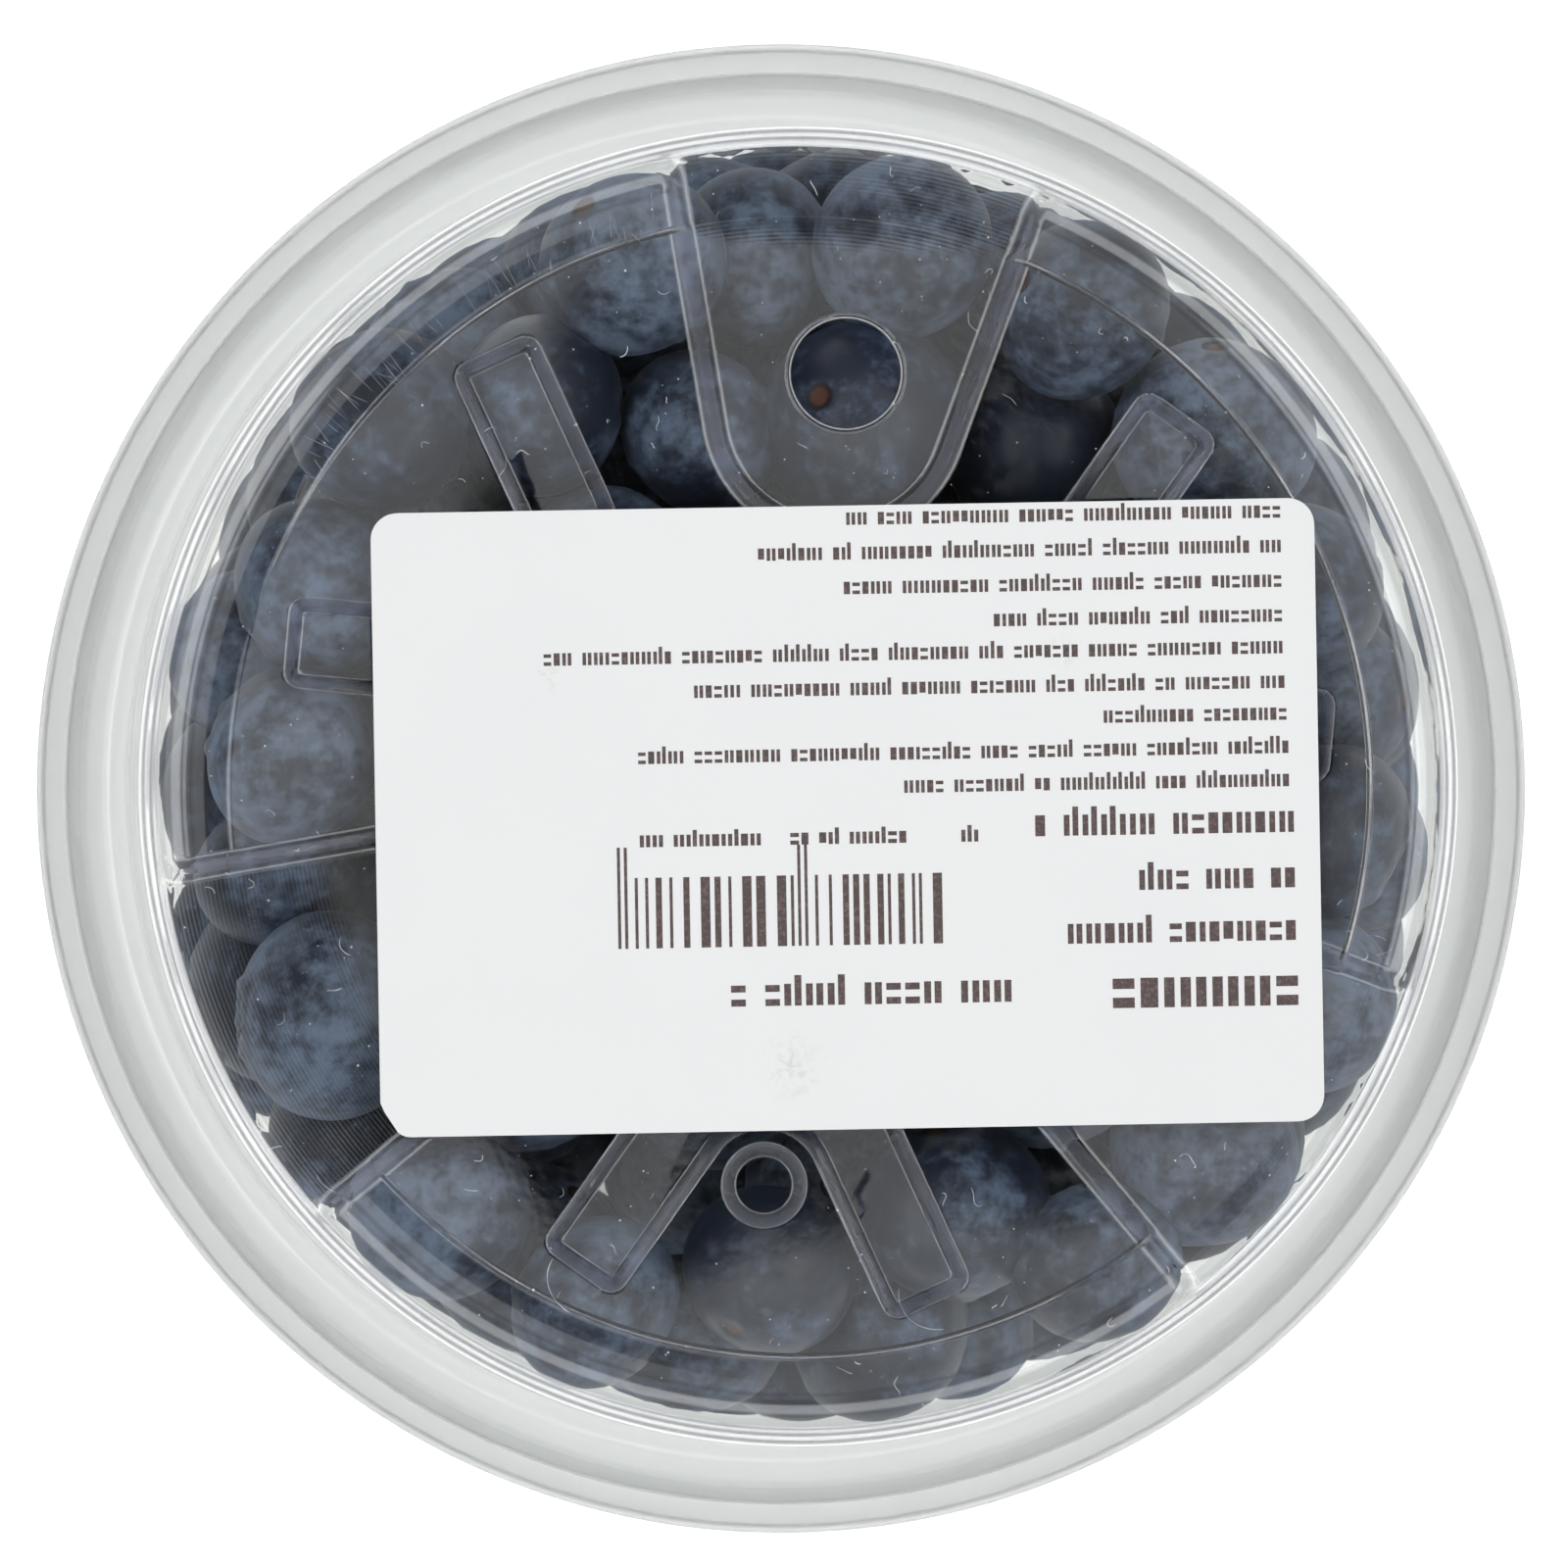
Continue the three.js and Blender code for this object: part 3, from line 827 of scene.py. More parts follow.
def backGaps(places, radii):
    # wherever one would see down to the floor between the berries, one more lies below
    places, radii = list(map(tuple, places)), list(radii)
    grid = np.arange(-backing["within"], backing["within"] + 0.1, backing["step"])
    for x in grid:
        for y in grid:
            out = math.hypot(x, y)
            if out > backing["within"]:
                continue
            known = np.array(places)
            # as the camera sees them, the lower ones are a little smaller and nearer to the middle
            nearer = shot["distance"] / (shot["distance"] + topPlane - known[:, 2])
            away = np.hypot(known[:, 0] * nearer - x, known[:, 1] * nearer - y)
            if (away < np.array(radii) * nearer * 0.98).any():
                continue
            best = None
            for z in backing["levels"]:
                reach = min(1.0, (roomRadius(z) - backing["outer"]) / max(out, 1e-9))
                at = (x * reach, y * reach, z)
                room = (np.sqrt(((known - at) ** 2).sum(axis=1)) - np.array(radii)).min() + backing["overlap"]
                room = min(room, backing["largest"], roomRadius(z) - math.hypot(at[0], at[1]))
                if best is None or room > best[0]:
                    best = (room, at)
            if best[0] > backing["smallest"]:
                places.append(best[1])
                radii.append(best[0])
    return np.array(places), np.array(radii)


# Geometry Nodes tree that sets a berry of each form on every point, turned and sized by the point

def scatterTree(name, forms, material):
    tree = bpy.data.node_groups.new(name, "GeometryNodeTree")
    face = tree.interface
    face.new_socket(name="Points", in_out="INPUT", socket_type="NodeSocketGeometry")
    scale = face.new_socket(name="Size factor", in_out="INPUT", socket_type="NodeSocketFloat")
    scale.default_value = 1.0
    face.new_socket(name="Berries", in_out="OUTPUT", socket_type="NodeSocketGeometry")
    nodes, link = tree.nodes, tree.links.new
    inputs, output = nodes.new("NodeGroupInput"), nodes.new("NodeGroupOutput")
    instance = nodes.new("GeometryNodeInstanceOnPoints")
    gather = nodes.new("GeometryNodeGeometryToInstance")
    for form in reversed(forms):
        source = nodes.new("GeometryNodeObjectInfo")
        source.inputs["Object"].default_value = form
        source.inputs["As Instance"].default_value = False
        link(source.outputs["Geometry"], gather.inputs[0])
    attributes = {}
    for label, kind in (("form", "INT"), ("turn", "FLOAT_VECTOR"), ("size", "FLOAT")):
        node = nodes.new("GeometryNodeInputNamedAttribute")
        node.data_type = kind
        node.inputs["Name"].default_value = label
        attributes[label] = node.outputs["Attribute"]
    sized = nodes.new("ShaderNodeMath")
    sized.operation = "MULTIPLY"
    link(attributes["size"], sized.inputs[0])
    link(inputs.outputs["Size factor"], sized.inputs[1])
    asTurn = nodes.new("FunctionNodeEulerToRotation")
    link(attributes["turn"], asTurn.inputs[0])
    instance.inputs["Pick Instance"].default_value = True
    link(inputs.outputs["Points"], instance.inputs["Points"])
    link(gather.outputs[0], instance.inputs["Instance"])
    link(attributes["form"], instance.inputs["Instance Index"])
    link(asTurn.outputs[0], instance.inputs["Rotation"])
    link(sized.outputs[0], instance.inputs["Scale"])
    realize = nodes.new("GeometryNodeRealizeInstances")
    finish = nodes.new("GeometryNodeSetMaterial")
    finish.inputs["Material"].default_value = material
    link(instance.outputs[0], realize.inputs[0])
    link(realize.outputs[0], finish.inputs["Geometry"])
    link(finish.outputs[0], output.inputs[0])
    return tree, scale.identifier


def scatterBerries(name, places, radii, turns, tones, forms, material):
    holder = makePiece(name + "Points", places, [], None)
    rows = {
        "form": ("INT", np.arange(len(places)) % len(forms)),
        "turn": ("FLOAT_VECTOR", turns),
        "size": ("FLOAT", radii * mm),
        "tone": ("FLOAT", tones),
    }
    for label, (kind, values) in rows.items():
        attribute = holder.data.attributes.new(label, kind, "POINT")
        key = "vector" if kind == "FLOAT_VECTOR" else "value"
        attribute.data.foreach_set(key, np.asarray(values).ravel())
    tree, sizeInput = scatterTree(name + "Tree", forms, material)
    modifier = holder.modifiers.new("scatter", "NODES")
    modifier.node_group = tree
    modifier[sizeInput] = 1.0
    evaluated = holder.evaluated_get(bpy.context.evaluated_depsgraph_get())
    mesh = bpy.data.meshes.new_from_object(evaluated)
    bpy.data.objects.remove(holder)
    piece = bpy.data.objects.new(name, mesh)
    bpy.context.scene.collection.objects.link(piece)
    if material.name not in mesh.materials:
        mesh.materials.append(material)
    return piece


def settleUnderBase(piece):
    # berries give a little where they press on the base, the wall and the lid's panel
    mesh = piece.data
    points = np.zeros(len(mesh.vertices) * 3)
    mesh.vertices.foreach_get("co", points)
    points = points.reshape(-1, 3) / mm
    clearance = tub["sheet"] + pressing["underBase"]
    r = np.hypot(points[:, 0], points[:, 1])
    ceiling = baseHeight(points[:, 0], points[:, 1]) - clearance
    ceiling = np.where(r < tub["discRadius"] - 1, ceiling, topPlane)
    points[:, 2] = np.minimum(points[:, 2], ceiling)
    points[:, 2] = np.maximum(points[:, 2], lid["panelTop"] + pressing["overLid"])
    limit = roomRadius(points[:, 2]) + heap["gap"] - pressing["atWall"]
    corner = tub["cornerRadius"] - tub["cornerRound"]
    level = topPlane - tub["panelStep"] - tub["cornerRound"]
    up = np.clip(points[:, 2] - level, 0, tub["cornerRound"] - clearance)
    rounded = corner + np.sqrt((tub["cornerRound"] - clearance) ** 2 - up ** 2)
    limit = np.where(points[:, 2] > level, np.minimum(limit, rounded), limit)
    shrink = np.minimum(1, limit / np.maximum(r, 1e-9))
    points[:, :2] *= shrink[:, None]
    mesh.vertices.foreach_set("co", (points * mm).ravel())
    mesh.polygons.foreach_set("use_smooth", [True] * len(mesh.polygons))
    mesh.update()


# Label and its print

label = {"width": 68.1, "height": 45.0, "corner": 1.9, "thickness": 0.2, "x": 3.4, "y": -2.25, "turn": 1.0,
         "lift": 0.02}


def labelOutline():
    halfWide, halfTall, round_ = label["width"] / 2, label["height"] / 2, label["corner"]
    path = []
    for sx, sy, start in ((1, -1, -90), (1, 1, 0), (-1, 1, 90), (-1, -1, 180)):
        centre = np.array([sx * (halfWide - round_), sy * (halfTall - round_)])
        angles = np.radians(np.linspace(start, start + 90, 9))
        corner = polar(round_, angles) + centre
        if (sx, sy) == (-1, -1):    # this corner is clipped
            corner = np.array([[-halfWide, -halfTall + 2.5], [-halfWide + 0.25, -halfTall + 1.9],
                               [-halfWide + 1.3, -halfTall + 0.25], [-halfWide + 1.9, -halfTall]])
        path += list(corner)
    return evenly(np.vstack([path, path[:1]]), 0.35)[:-1]


def onLabel(flat, height):
    turn = math.radians(label["turn"])
    x = flat[:, 0] * math.cos(turn) - flat[:, 1] * math.sin(turn) + label["x"]
    y = flat[:, 0] * math.sin(turn) + flat[:, 1] * math.cos(turn) + label["y"]
    return np.column_stack([x, y, panelHeight(x, y) + height])


def labelMesh():
    # rows of points let the paper follow the base's slight dome
    outline = labelOutline()
    count = len(outline)
    points = [Vector(p) for p in outline]
    edges = [(i, (i + 1) % count) for i in range(count)]
    halfWide, halfTall = label["width"] / 2, label["height"] / 2
    for y in np.linspace(-halfTall + 2.5, halfTall - 2.5, 14):
        points += [Vector((x, y)) for x in np.linspace(-halfWide + 2.5, halfWide - 2.5, 22)]
    flat, _, faces, *_ = delaunay_2d_cdt(points, edges, [], 1, 1e-5, False)
    flat = np.array(flat)
    bottom, top = label["lift"], label["lift"] + label["thickness"]
    total = len(flat)
    pointsOut = np.vstack([onLabel(flat, top), onLabel(flat, bottom)])
    facesOut = [list(f) for f in faces] + [[i + total for i in reversed(f)] for f in faces]
    facesOut += [[i, i + total, (i + 1) % count + total, (i + 1) % count] for i in range(count)]
    return pointsOut, facesOut


printing = {"ink": 0.012, "seed": 71, "gap": 0.16, "runGap": 0.5}
blockRows = [
    # left end, right end and distance from the label's lower edge of each row, its height and its bars' width
    (0.3, 31.6, 43.6, 1.25, 0.26), (-6.0, 31.6, 41.1, 1.25, 0.26), (-0.3, 31.6, 38.6, 1.25, 0.26),
    (10.2, 31.6, 36.1, 1.25, 0.26), (-22.0, 31.6, 33.8, 1.25, 0.26), (-11.2, 31.7, 31.3, 1.25, 0.26),
    (18.0, 31.8, 29.0, 1.25, 0.26), (-14.8, 31.9, 26.6, 1.25, 0.26), (3.5, 31.9, 24.2, 1.25, 0.26),
    (12.8, 32.2, 20.9, 2.1, 0.42), (21.0, 32.2, 16.9, 2.0, 0.42), (15.6, 32.2, 13.1, 2.0, 0.42),
    (18.7, 32.3, 8.4, 3.0, 0.75), (-9.2, 11.6, 9.0, 2.2, 0.5), (-14.6, -6.3, 20.6, 1.2, 0.3),
    (-4.4, 4.2, 20.6, 1.2, 0.3), (8.2, 9.4, 20.6, 1.2, 0.3),
]
barField = {"left": -16.7, "right": 7.2, "low": 13.3, "high": 18.4, "guardHigh": 20.6, "module": 0.25}


def addRectangle(points, faces, x0, y0, x1, y1):
    start = len(points)
    points += [(x0, y0), (x1, y0), (x1, y1), (x0, y1)]
    faces.append([start, start + 1, start + 2, start + 3])


def addBlocks(points, faces, draw, row):
    # a row of short runs of small plain blocks and bars
    left, right, level, tall, weight = row
    y = level - label["height"] / 2
    x = right
    while x > left + weight:
        for _ in range(2 + int(next(draw) * 8)):
            kind, low = next(draw), 0.28 * tall * (next(draw) < 0.12)
            high = tall * (1.0 if next(draw) < 0.24 else 0.72)
            if kind < 0.42:    # two upright bars joined to one block's width
                pair = weight * 2.5
                addRectangle(points, faces, x - weight, y, x, y + high)
                addRectangle(points, faces, x - pair, y, x - pair + weight, y + 0.72 * tall)
                x -= pair
            elif kind < 0.7:   # a plain block
                addRectangle(points, faces, x - weight * 1.7, y + low * 0.3, x, y + 0.72 * tall)
                x -= weight * 1.7
            elif kind < 0.88:  # two stacked dashes
                wide = weight * 2.1
                for share in (0.0, 0.46):
                    addRectangle(points, faces, x - wide, y + share * tall, x, y + share * tall + weight)
                x -= wide
            else:              # one upright bar
                addRectangle(points, faces, x - weight, y, x, y + high)
                x -= weight
            x -= printing["gap"] * tall * 0.9
            if x < left + weight:
                break
        x -= printing["runGap"] * tall


def printMesh():
    # the rows of blocks, and a field of upright bars of drawn widths
    points, faces = [], []
    draw = drawFrom(printing["seed"])
    for row in blockRows:
        addBlocks(points, faces, draw, row)
    low = -label["height"] / 2
    bars = barField
    x, dark, count = bars["left"], True, 0
    while x < bars["right"] - bars["module"]:
        width = bars["module"] * (1 + int(next(draw) * 2.6))
        guard = count in (0, 2, 28, 30) or x > bars["right"] - 4 * bars["module"]
        if guard:
            width = bars["module"]
        if dark:
            high = bars["guardHigh"] if guard else bars["high"]
            addRectangle(points, faces, x, low + bars["low"], x + width * 0.9, low + high)
        x += width
        dark = not dark
        count += 1
    return onLabel(np.array(points), label["lift"] + label["thickness"] + printing["ink"]), faces


# Lint, specks and fine scratches that lie on the base

dust = {"seed": 29, "fibres": 70, "specks": 340, "scratches": 45, "fibreRadius": 0.022, "speckRadius": 0.07,
        "scratchRadius": 0.007, "lift": 0.02, "segments": 9, "sides": 4, "speckSides": 5, "within": 46,
        "fibresWithin": 46.5, "longEvery": 31, "longExtra": 4.0, "clearOfLabel": 0.6, "clearOfHole": 1.0}


def addThread(points, faces, line, radius):
    # a thin thread along a line on the base, pointed at both ends
    line = np.asarray(line)
    along = np.gradient(line, axis=0)
    along /= np.maximum(np.linalg.norm(along, axis=1), 1e-9)[:, None]
    start, sides = len(points), dust["sides"]
    height = baseHeight(line[:, 0], line[:, 1]) + dust["lift"] + radius
    for i, ((x, y), (dx, dy), z) in enumerate(zip(line, along, height)):
        wide = radius * (0.25 if i in (0, len(line) - 1) else 1.0)
        for k in range(sides):
            angle = 2 * math.pi * k / sides
            points.append((x - dy * wide * math.cos(angle), y + dx * wide * math.cos(angle),
                           z + wide * math.sin(angle)))
    for i in range(len(line) - 1):
        for k in range(sides):
            a, b = start + i * sides + k, start + i * sides + (k + 1) % sides
            faces.append([a, a + sides, b + sides, b])
    faces.append([start + k for k in range(sides)])
    faces.append([start + (len(line) - 1) * sides + k for k in reversed(range(sides))])


def onBareBase(x, y):
    # clear of the label and of the drain hole
    turn = math.radians(-label["turn"])
    u, v = x - label["x"], y - label["y"]
    u, v = u * math.cos(turn) - v * math.sin(turn), u * math.sin(turn) + v * math.cos(turn)
    hole = drainCentre()
    halfWide, halfTall = label["width"] / 2 + dust["clearOfLabel"], label["height"] / 2 + dust["clearOfLabel"]
    covered = abs(u) < halfWide and abs(v) < halfTall
    return not covered and math.hypot(x - hole[0], y - hole[1]) > drain["radius"] + dust["clearOfHole"]


def addSpeck(points, faces, draw, x, y):
    radius = dust["speckRadius"] * (0.45 + 0.75 * next(draw) ** 2)
    z = float(baseHeight(np.array([x]), np.array([y]))[0]) + radius * 0.8
    start, sides = len(points), dust["speckSides"]
    spin = next(draw)
    for k in range(sides):
        around = 2 * math.pi * (k + spin) / sides
        reach = radius * (0.7 + 0.6 * next(draw))
        points.append((x + reach * math.cos(around), y + reach * math.sin(around), z))
    points += [(x, y, z + radius * 0.8), (x, y, z - radius * 0.7)]
    for k in range(sides):
        faces.append([start + k, start + (k + 1) % sides, start + sides])
        faces.append([start + (k + 1) % sides, start + k, start + sides + 1])


def addFibre(points, faces, draw, x, y, extra):
    # a curled thread from there, left out where it would reach the label, the drain hole or the corner
    length = 0.5 + 1.7 * next(draw) ** 2 + extra
    heading, curl, sway = 2 * math.pi * next(draw), 4 * (next(draw) - 0.5), 6 * next(draw)
    count = dust["segments"] * (2 if length > dust["longExtra"] else 1)
    line = []
    for i in range(count + 1):
        line.append((x, y))
        heading += (curl + sway * math.sin(5.1 * i / count + sway)) / count
        x, y = x + length / count * math.cos(heading), y + length / count * math.sin(heading)
    if all(onBareBase(*p) and math.hypot(*p) < dust["fibresWithin"] for p in line):
        addThread(points, faces, line, dust["fibreRadius"] * (0.7 + 0.6 * next(draw)))


def addScratch(points, faces, draw):
    # rubbed across the ledge at the upper left
    angle = math.radians(104 + 44 * next(draw))
    inner = 40.6 + 1.5 * next(draw)
    outer = inner + 0.8 + 2.0 * next(draw)
    lean = 0.03 * (next(draw) - 0.5)
    line = [polar(inner + (outer - inner) * t, angle + lean * t) for t in (0, 0.25, 0.5, 0.75, 1)]
    if outer < dust["within"]:
        addThread(points, faces, line, dust["scratchRadius"] * (0.6 + 0.8 * next(draw)))


def dustMesh():
    points, faces = [], []
    draw = drawFrom(dust["seed"])
    placed = 0
    while placed < dust["fibres"] + dust["specks"]:
        angle, out = 2 * math.pi * next(draw), dust["within"] * math.sqrt(next(draw))
        x, y = out * math.cos(angle), out * math.sin(angle)
        if not onBareBase(x, y):
            continue
        placed += 1
        if placed > dust["fibres"]:
            addSpeck(points, faces, draw, x, y)
        else:
            addFibre(points, faces, draw, x, y, 0.0 if placed % dust["longEvery"] else dust["longExtra"])
    for _ in range(dust["scratches"]):
        addScratch(points, faces, draw)
    return points, faces


# Materials

petColor = (0.966, 0.98, 0.975, 1)


def newGroup(name, inputs, outputs):
    # a shader node group: rows of input name and start value, and the names of its outputs
    tree = bpy.data.node_groups.new(name, "ShaderNodeTree")
    for label, start in inputs:
        kind = "NodeSocketVector" if start is None else "NodeSocketFloat"
        socket = tree.interface.new_socket(name=label, in_out="INPUT", socket_type=kind)
        if start is not None:
            socket.default_value = start
    for label in outputs:
        tree.interface.new_socket(name=label, in_out="OUTPUT", socket_type="NodeSocketFloat")
    return tree, tree.nodes.new("NodeGroupInput").outputs, tree.nodes.new("NodeGroupOutput")


def mouldedRelief():
    # what every moulded sheet of the pack has: a gentle wave, orange peel, and scuffs rubbed into it
    tree, given, out = newGroup("mouldedRelief", [
        ("Place", None), ("Wave height", 14e-6), ("Peel height", 0.5e-6), ("Peel amount", 1.0),
        ("Scuffs", 0.05), ("Smooth roughness", 0.02)], ["Height", "Roughness"])
    wave = addNoise(tree, given["Place"], 70, 0, 0.5).outputs[0]
    peel = addNoise(tree, given["Place"], 1500, 1, 0.45).outputs[0]
    rubbed = addRange(tree, addNoise(tree, given["Place"], 260, 2, 0.7).outputs[0], 0.55, 0.72)
    tall = addMath(tree, "MULTIPLY", given["Peel height"], given["Peel amount"])
    peel = addMath(tree, "MULTIPLY", peel, tall)
    tree.links.new(addMath(tree, "MULTIPLY_ADD", wave, given["Wave height"], peel), out.inputs["Height"])
    rough = addMath(tree, "MULTIPLY_ADD", rubbed, given["Scuffs"], given["Smooth roughness"])
    tree.links.new(rough, out.inputs["Roughness"])
    return tree


sheetRelief = mouldedRelief()


# roughness, scuffs and clearness of each moulded part, with its own tint, refraction and orange peel if any
plastics = {
    "tub": {"roughness": 0.02, "scuff": 0.04, "marked": True},
    "wall": {"roughness": 0.02, "scuff": 0.04, "clarity": rim["wallClarity"], "color": (0.95, 0.96, 0.965, 1),
             "ior": 1.5, "peel": 0.08e-6},
    "rim": {"roughness": 0.14, "scuff": 0.05, "clarity": rim["clarity"], "color": (0.905, 0.912, 0.895, 1)},
    "corner": {"roughness": 0.06, "scuff": 0.05, "clarity": rim["cornerClarity"],
               "color": (0.95, 0.955, 0.955, 1), "peel": 0.08e-6},
    "slope": {"roughness": 0.02, "scuff": 0.04, "clarity": rim["steepClarity"],
              "color": (0.90, 0.90, 0.97, 1), "peel": 0.08e-6},
    "cut": {"roughness": 0.5, "scuff": 0.0, "clarity": 0.3, "color": (0.93, 0.93, 0.93, 1)},
    "lid": {"roughness": 0.05, "scuff": 0.06, "color": (0.80, 0.79, 0.765, 1)},
}
# of the marked base: tool marks, orange peel, gentle wave, and the colour and strength of its painted shade
# lines
toolMarkAndShade = {"scale": 1050.0, "height": 0.4e-6, "peel": 1.1e-6, "wave": 2e-6, "levelWave": 12e-6,
            "line": (0.13, 0.14, 0.19, 1), "dark": 0.85}


def clearPlastic(name, roughness, scuff, clarity=1.0, color=petColor, marked=False, ior=1.62, peel=0.5e-6):
    # moulded clear sheet, and on the base also fine tool marks and painted shade as dark lines along its
    # edges
    material, tree = newMaterial(name)
    place = objectPlace(tree)
    relief = addNode(tree, "ShaderNodeGroup", node_tree=sheetRelief)
    tree.links.new(place, relief.inputs["Place"])
    relief.inputs["Scuffs"].default_value = scuff
    relief.inputs["Smooth roughness"].default_value = roughness
    relief.inputs["Peel height"].default_value = peel
    height, tint = relief.outputs["Height"], color
    if marked:
        tooled, paintedShadeLine, peeled, levelBase = (
            addNode(tree, "ShaderNodeAttribute", attribute_name=label).outputs["Fac"]
            for label in ("tooled", "paintedShadeLine", "peeled", "levelBase"))
        tree.links.new(peeled, relief.inputs["Peel amount"])
        wave = addMath(tree, "MULTIPLY_ADD", levelBase, toolMarkAndShade["levelWave"], toolMarkAndShade["wave"])
        tree.links.new(wave, relief.inputs["Wave height"])
        relief.inputs["Peel height"].default_value = toolMarkAndShade["peel"]
        rings = addNode(tree, "ShaderNodeTexWave", {"Vector": place, "Scale": toolMarkAndShade["scale"]},
                        wave_type="RINGS", rings_direction="Z").outputs["Fac"]
        groove = addMath(tree, "MULTIPLY", addMath(tree, "MULTIPLY", rings, tooled), toolMarkAndShade["height"])
        height = addMath(tree, "ADD", height, groove)
        # painted shade: the sheet's colour darkens towards the line colour along the step, the ledge's edge
        # and the corner
        dark = addMath(tree, "MULTIPLY", paintedShadeLine, toolMarkAndShade["dark"])
        tint = addMix(tree, dark, color, toolMarkAndShade["line"])
    shell = addNode(tree, "ShaderNodeBsdfPrincipled", {
        "Base Color": tint, "Roughness": relief.outputs["Roughness"], "IOR": ior,
        "Transmission Weight": clarity, "Normal": addBump(tree, height),
    })
    clear = addNode(tree, "ShaderNodeBsdfTransparent", {"Color": (0.975, 0.98, 0.978, 1)})
    path = addNode(tree, "ShaderNodeLightPath")
    through = addMath(tree, "MAXIMUM", path.outputs["Is Shadow Ray"], path.outputs["Is Diffuse Ray"])
    mixed = addNode(tree, "ShaderNodeMixShader", {0: through, 1: shell.outputs[0], 2: clear.outputs[0]})
    addNode(tree, "ShaderNodeOutputMaterial", {"Surface": mixed.outputs[0]})
    return material


berrySkin = {
    "broad": 130, "streak": 640, "fine": 3000, "rubbed": 190,    # scales of its clouds
    "bloomFrom": 0.80, "bloomTo": 1.36, "rubbedFrom": 0.56, "rubbedTo": 0.68, "rubbedAway": -0.8,
    "toneShift": 3.1, "toneShare": 0.26, "mottle": 0.34, "pores": 0.000008,
    "roughBare": 0.4, "roughBloom": 0.35,
    "skin": [(0.007, 0.010, 0.021, 1), (0.013, 0.018, 0.034, 1)],
    "waxy": [(0.092, 0.128, 0.196, 1), (0.116, 0.148, 0.208, 1)],
    "crown": (0.014, 0.013, 0.020, 1), "calyxTip": (0.085, 0.085, 0.105, 1),
    "scarEdge": (0.008, 0.006, 0.008, 1), "scar": (0.055, 0.017, 0.008, 1),
}


def berryMaterial():
    # dark waxy skin under a slate blue bloom that is rubbed off in blotches
    material, tree = newMaterial("blueberrySkin")
    tone, crown, calyxTip, scar = (addNode(tree, "ShaderNodeAttribute", attribute_name=label).outputs["Fac"]
                                   for label in ("tone", "crown", "calyxTip", "scar"))
    aside = addMath(tree, "MULTIPLY", tone, berrySkin["toneShift"])
    shift = addNode(tree, "ShaderNodeCombineXYZ", {0: tone, 1: aside}).outputs[0]
    place = addNode(tree, "ShaderNodeVectorMath", {0: objectPlace(tree), 1: shift}, operation="ADD")
    place = place.outputs[0]
    broad = addNoise(tree, place, berrySkin["broad"], 2, 0.5).outputs[0]
    streak = addNoise(tree, place, berrySkin["streak"], 3, 0.66).outputs[0]
    fine = addNoise(tree, place, berrySkin["fine"], 1, 0.6).outputs[0]
    bloom = addMath(tree, "MULTIPLY_ADD", streak, 1.0, addMath(tree, "MULTIPLY", broad, 1.0))
    share = berrySkin["toneShare"]
    bloom = addMath(tree, "ADD", bloom, addMath(tree, "MULTIPLY_ADD", tone, share, -share / 2))
    bloom = addRange(tree, bloom, berrySkin["bloomFrom"], berrySkin["bloomTo"])
    mottle = berrySkin["mottle"]
    bloom = addMath(tree, "MULTIPLY", bloom, addMath(tree, "MULTIPLY_ADD", fine, mottle, 1 - mottle / 2))
    bare = addNoise(tree, place, berrySkin["rubbed"], 3, 0.65).outputs[0]
    bare = addRange(tree, bare, berrySkin["rubbedFrom"], berrySkin["rubbedTo"])
    kept = addMath(tree, "MULTIPLY_ADD", bare, berrySkin["rubbedAway"], 1.0)
    bloom = addMath(tree, "MULTIPLY", bloom, kept)
    waxy = addMix(tree, tone, *berrySkin["waxy"])
    color = addMix(tree, bloom, addMix(tree, broad, *berrySkin["skin"]), waxy)
    masks = {
        "crown": addMath(tree, "MULTIPLY", crown, 0.8), "calyxTip": addMath(tree, "MULTIPLY", calyxTip, 0.55),
        "scarEdge": addRange(tree, scar, 0.15, 0.45), "scar": addRange(tree, scar, 0.6, 0.95),
    }
    for part, mask in masks.items():
        color = addMix(tree, mask, color, berrySkin[part])
    rough = addMath(tree, "MULTIPLY_ADD", bloom, berrySkin["roughBloom"], berrySkin["roughBare"])
    pores = addBump(tree, addMath(tree, "MULTIPLY", fine, berrySkin["pores"]), 0.8)
    finishWith(tree, {
        "Base Color": color, "Roughness": rough, "Normal": pores, "Specular IOR Level": 0.35,
        "Sheen Weight": 0.05, "Sheen Roughness": 0.4, "Sheen Tint": (0.55, 0.72, 1.0, 1),
    })
    return material


grime = [(18.9, 9.7, 1.7, 0.35), (-18.2, 7.9, 1.5, 0.25), (-0.5, -20.3, 3.4, 0.3), (12.0, 20.6, 1.2, 0.2)]


def paperMaterial():
    # smooth thermal paper with a faint cloud, and a few grey rubs at x, y, reach and strength
    material, tree = newMaterial("labelPaper")
    place = objectPlace(tree)
    fibre = addNoise(tree, place, 1800, 3, 0.65, 0.4).outputs[0]
    cloud = addNoise(tree, place, 90, 2, 0.5).outputs[0]
    ragged = addRange(tree, addNoise(tree, place, 900, 3, 0.7, 1.0).outputs[0], 0.45, 0.7)
    color = addMix(tree, cloud, (0.69, 0.69, 0.69, 1), (0.715, 0.715, 0.71, 1))
    for x, y, reach, strength in grime:
        away = addNode(tree, "ShaderNodeVectorMath", {0: place, 1: (x * mm, y * mm, topPlane * mm)},
                       operation="DISTANCE").outputs["Value"]
        near = addMath(tree, "MULTIPLY", addRange(tree, away, reach * mm, 0.0), strength)
        color = addMix(tree, addMath(tree, "MULTIPLY", near, ragged), color, (0.30, 0.28, 0.24, 1))
    tooth = addBump(tree, addMath(tree, "MULTIPLY", fibre, 0.00002), 0.5)
    rough = addMath(tree, "MULTIPLY_ADD", fibre, 0.2, 0.45)
    finishWith(tree, {"Base Color": color, "Roughness": rough, "Normal": tooth})
    return material


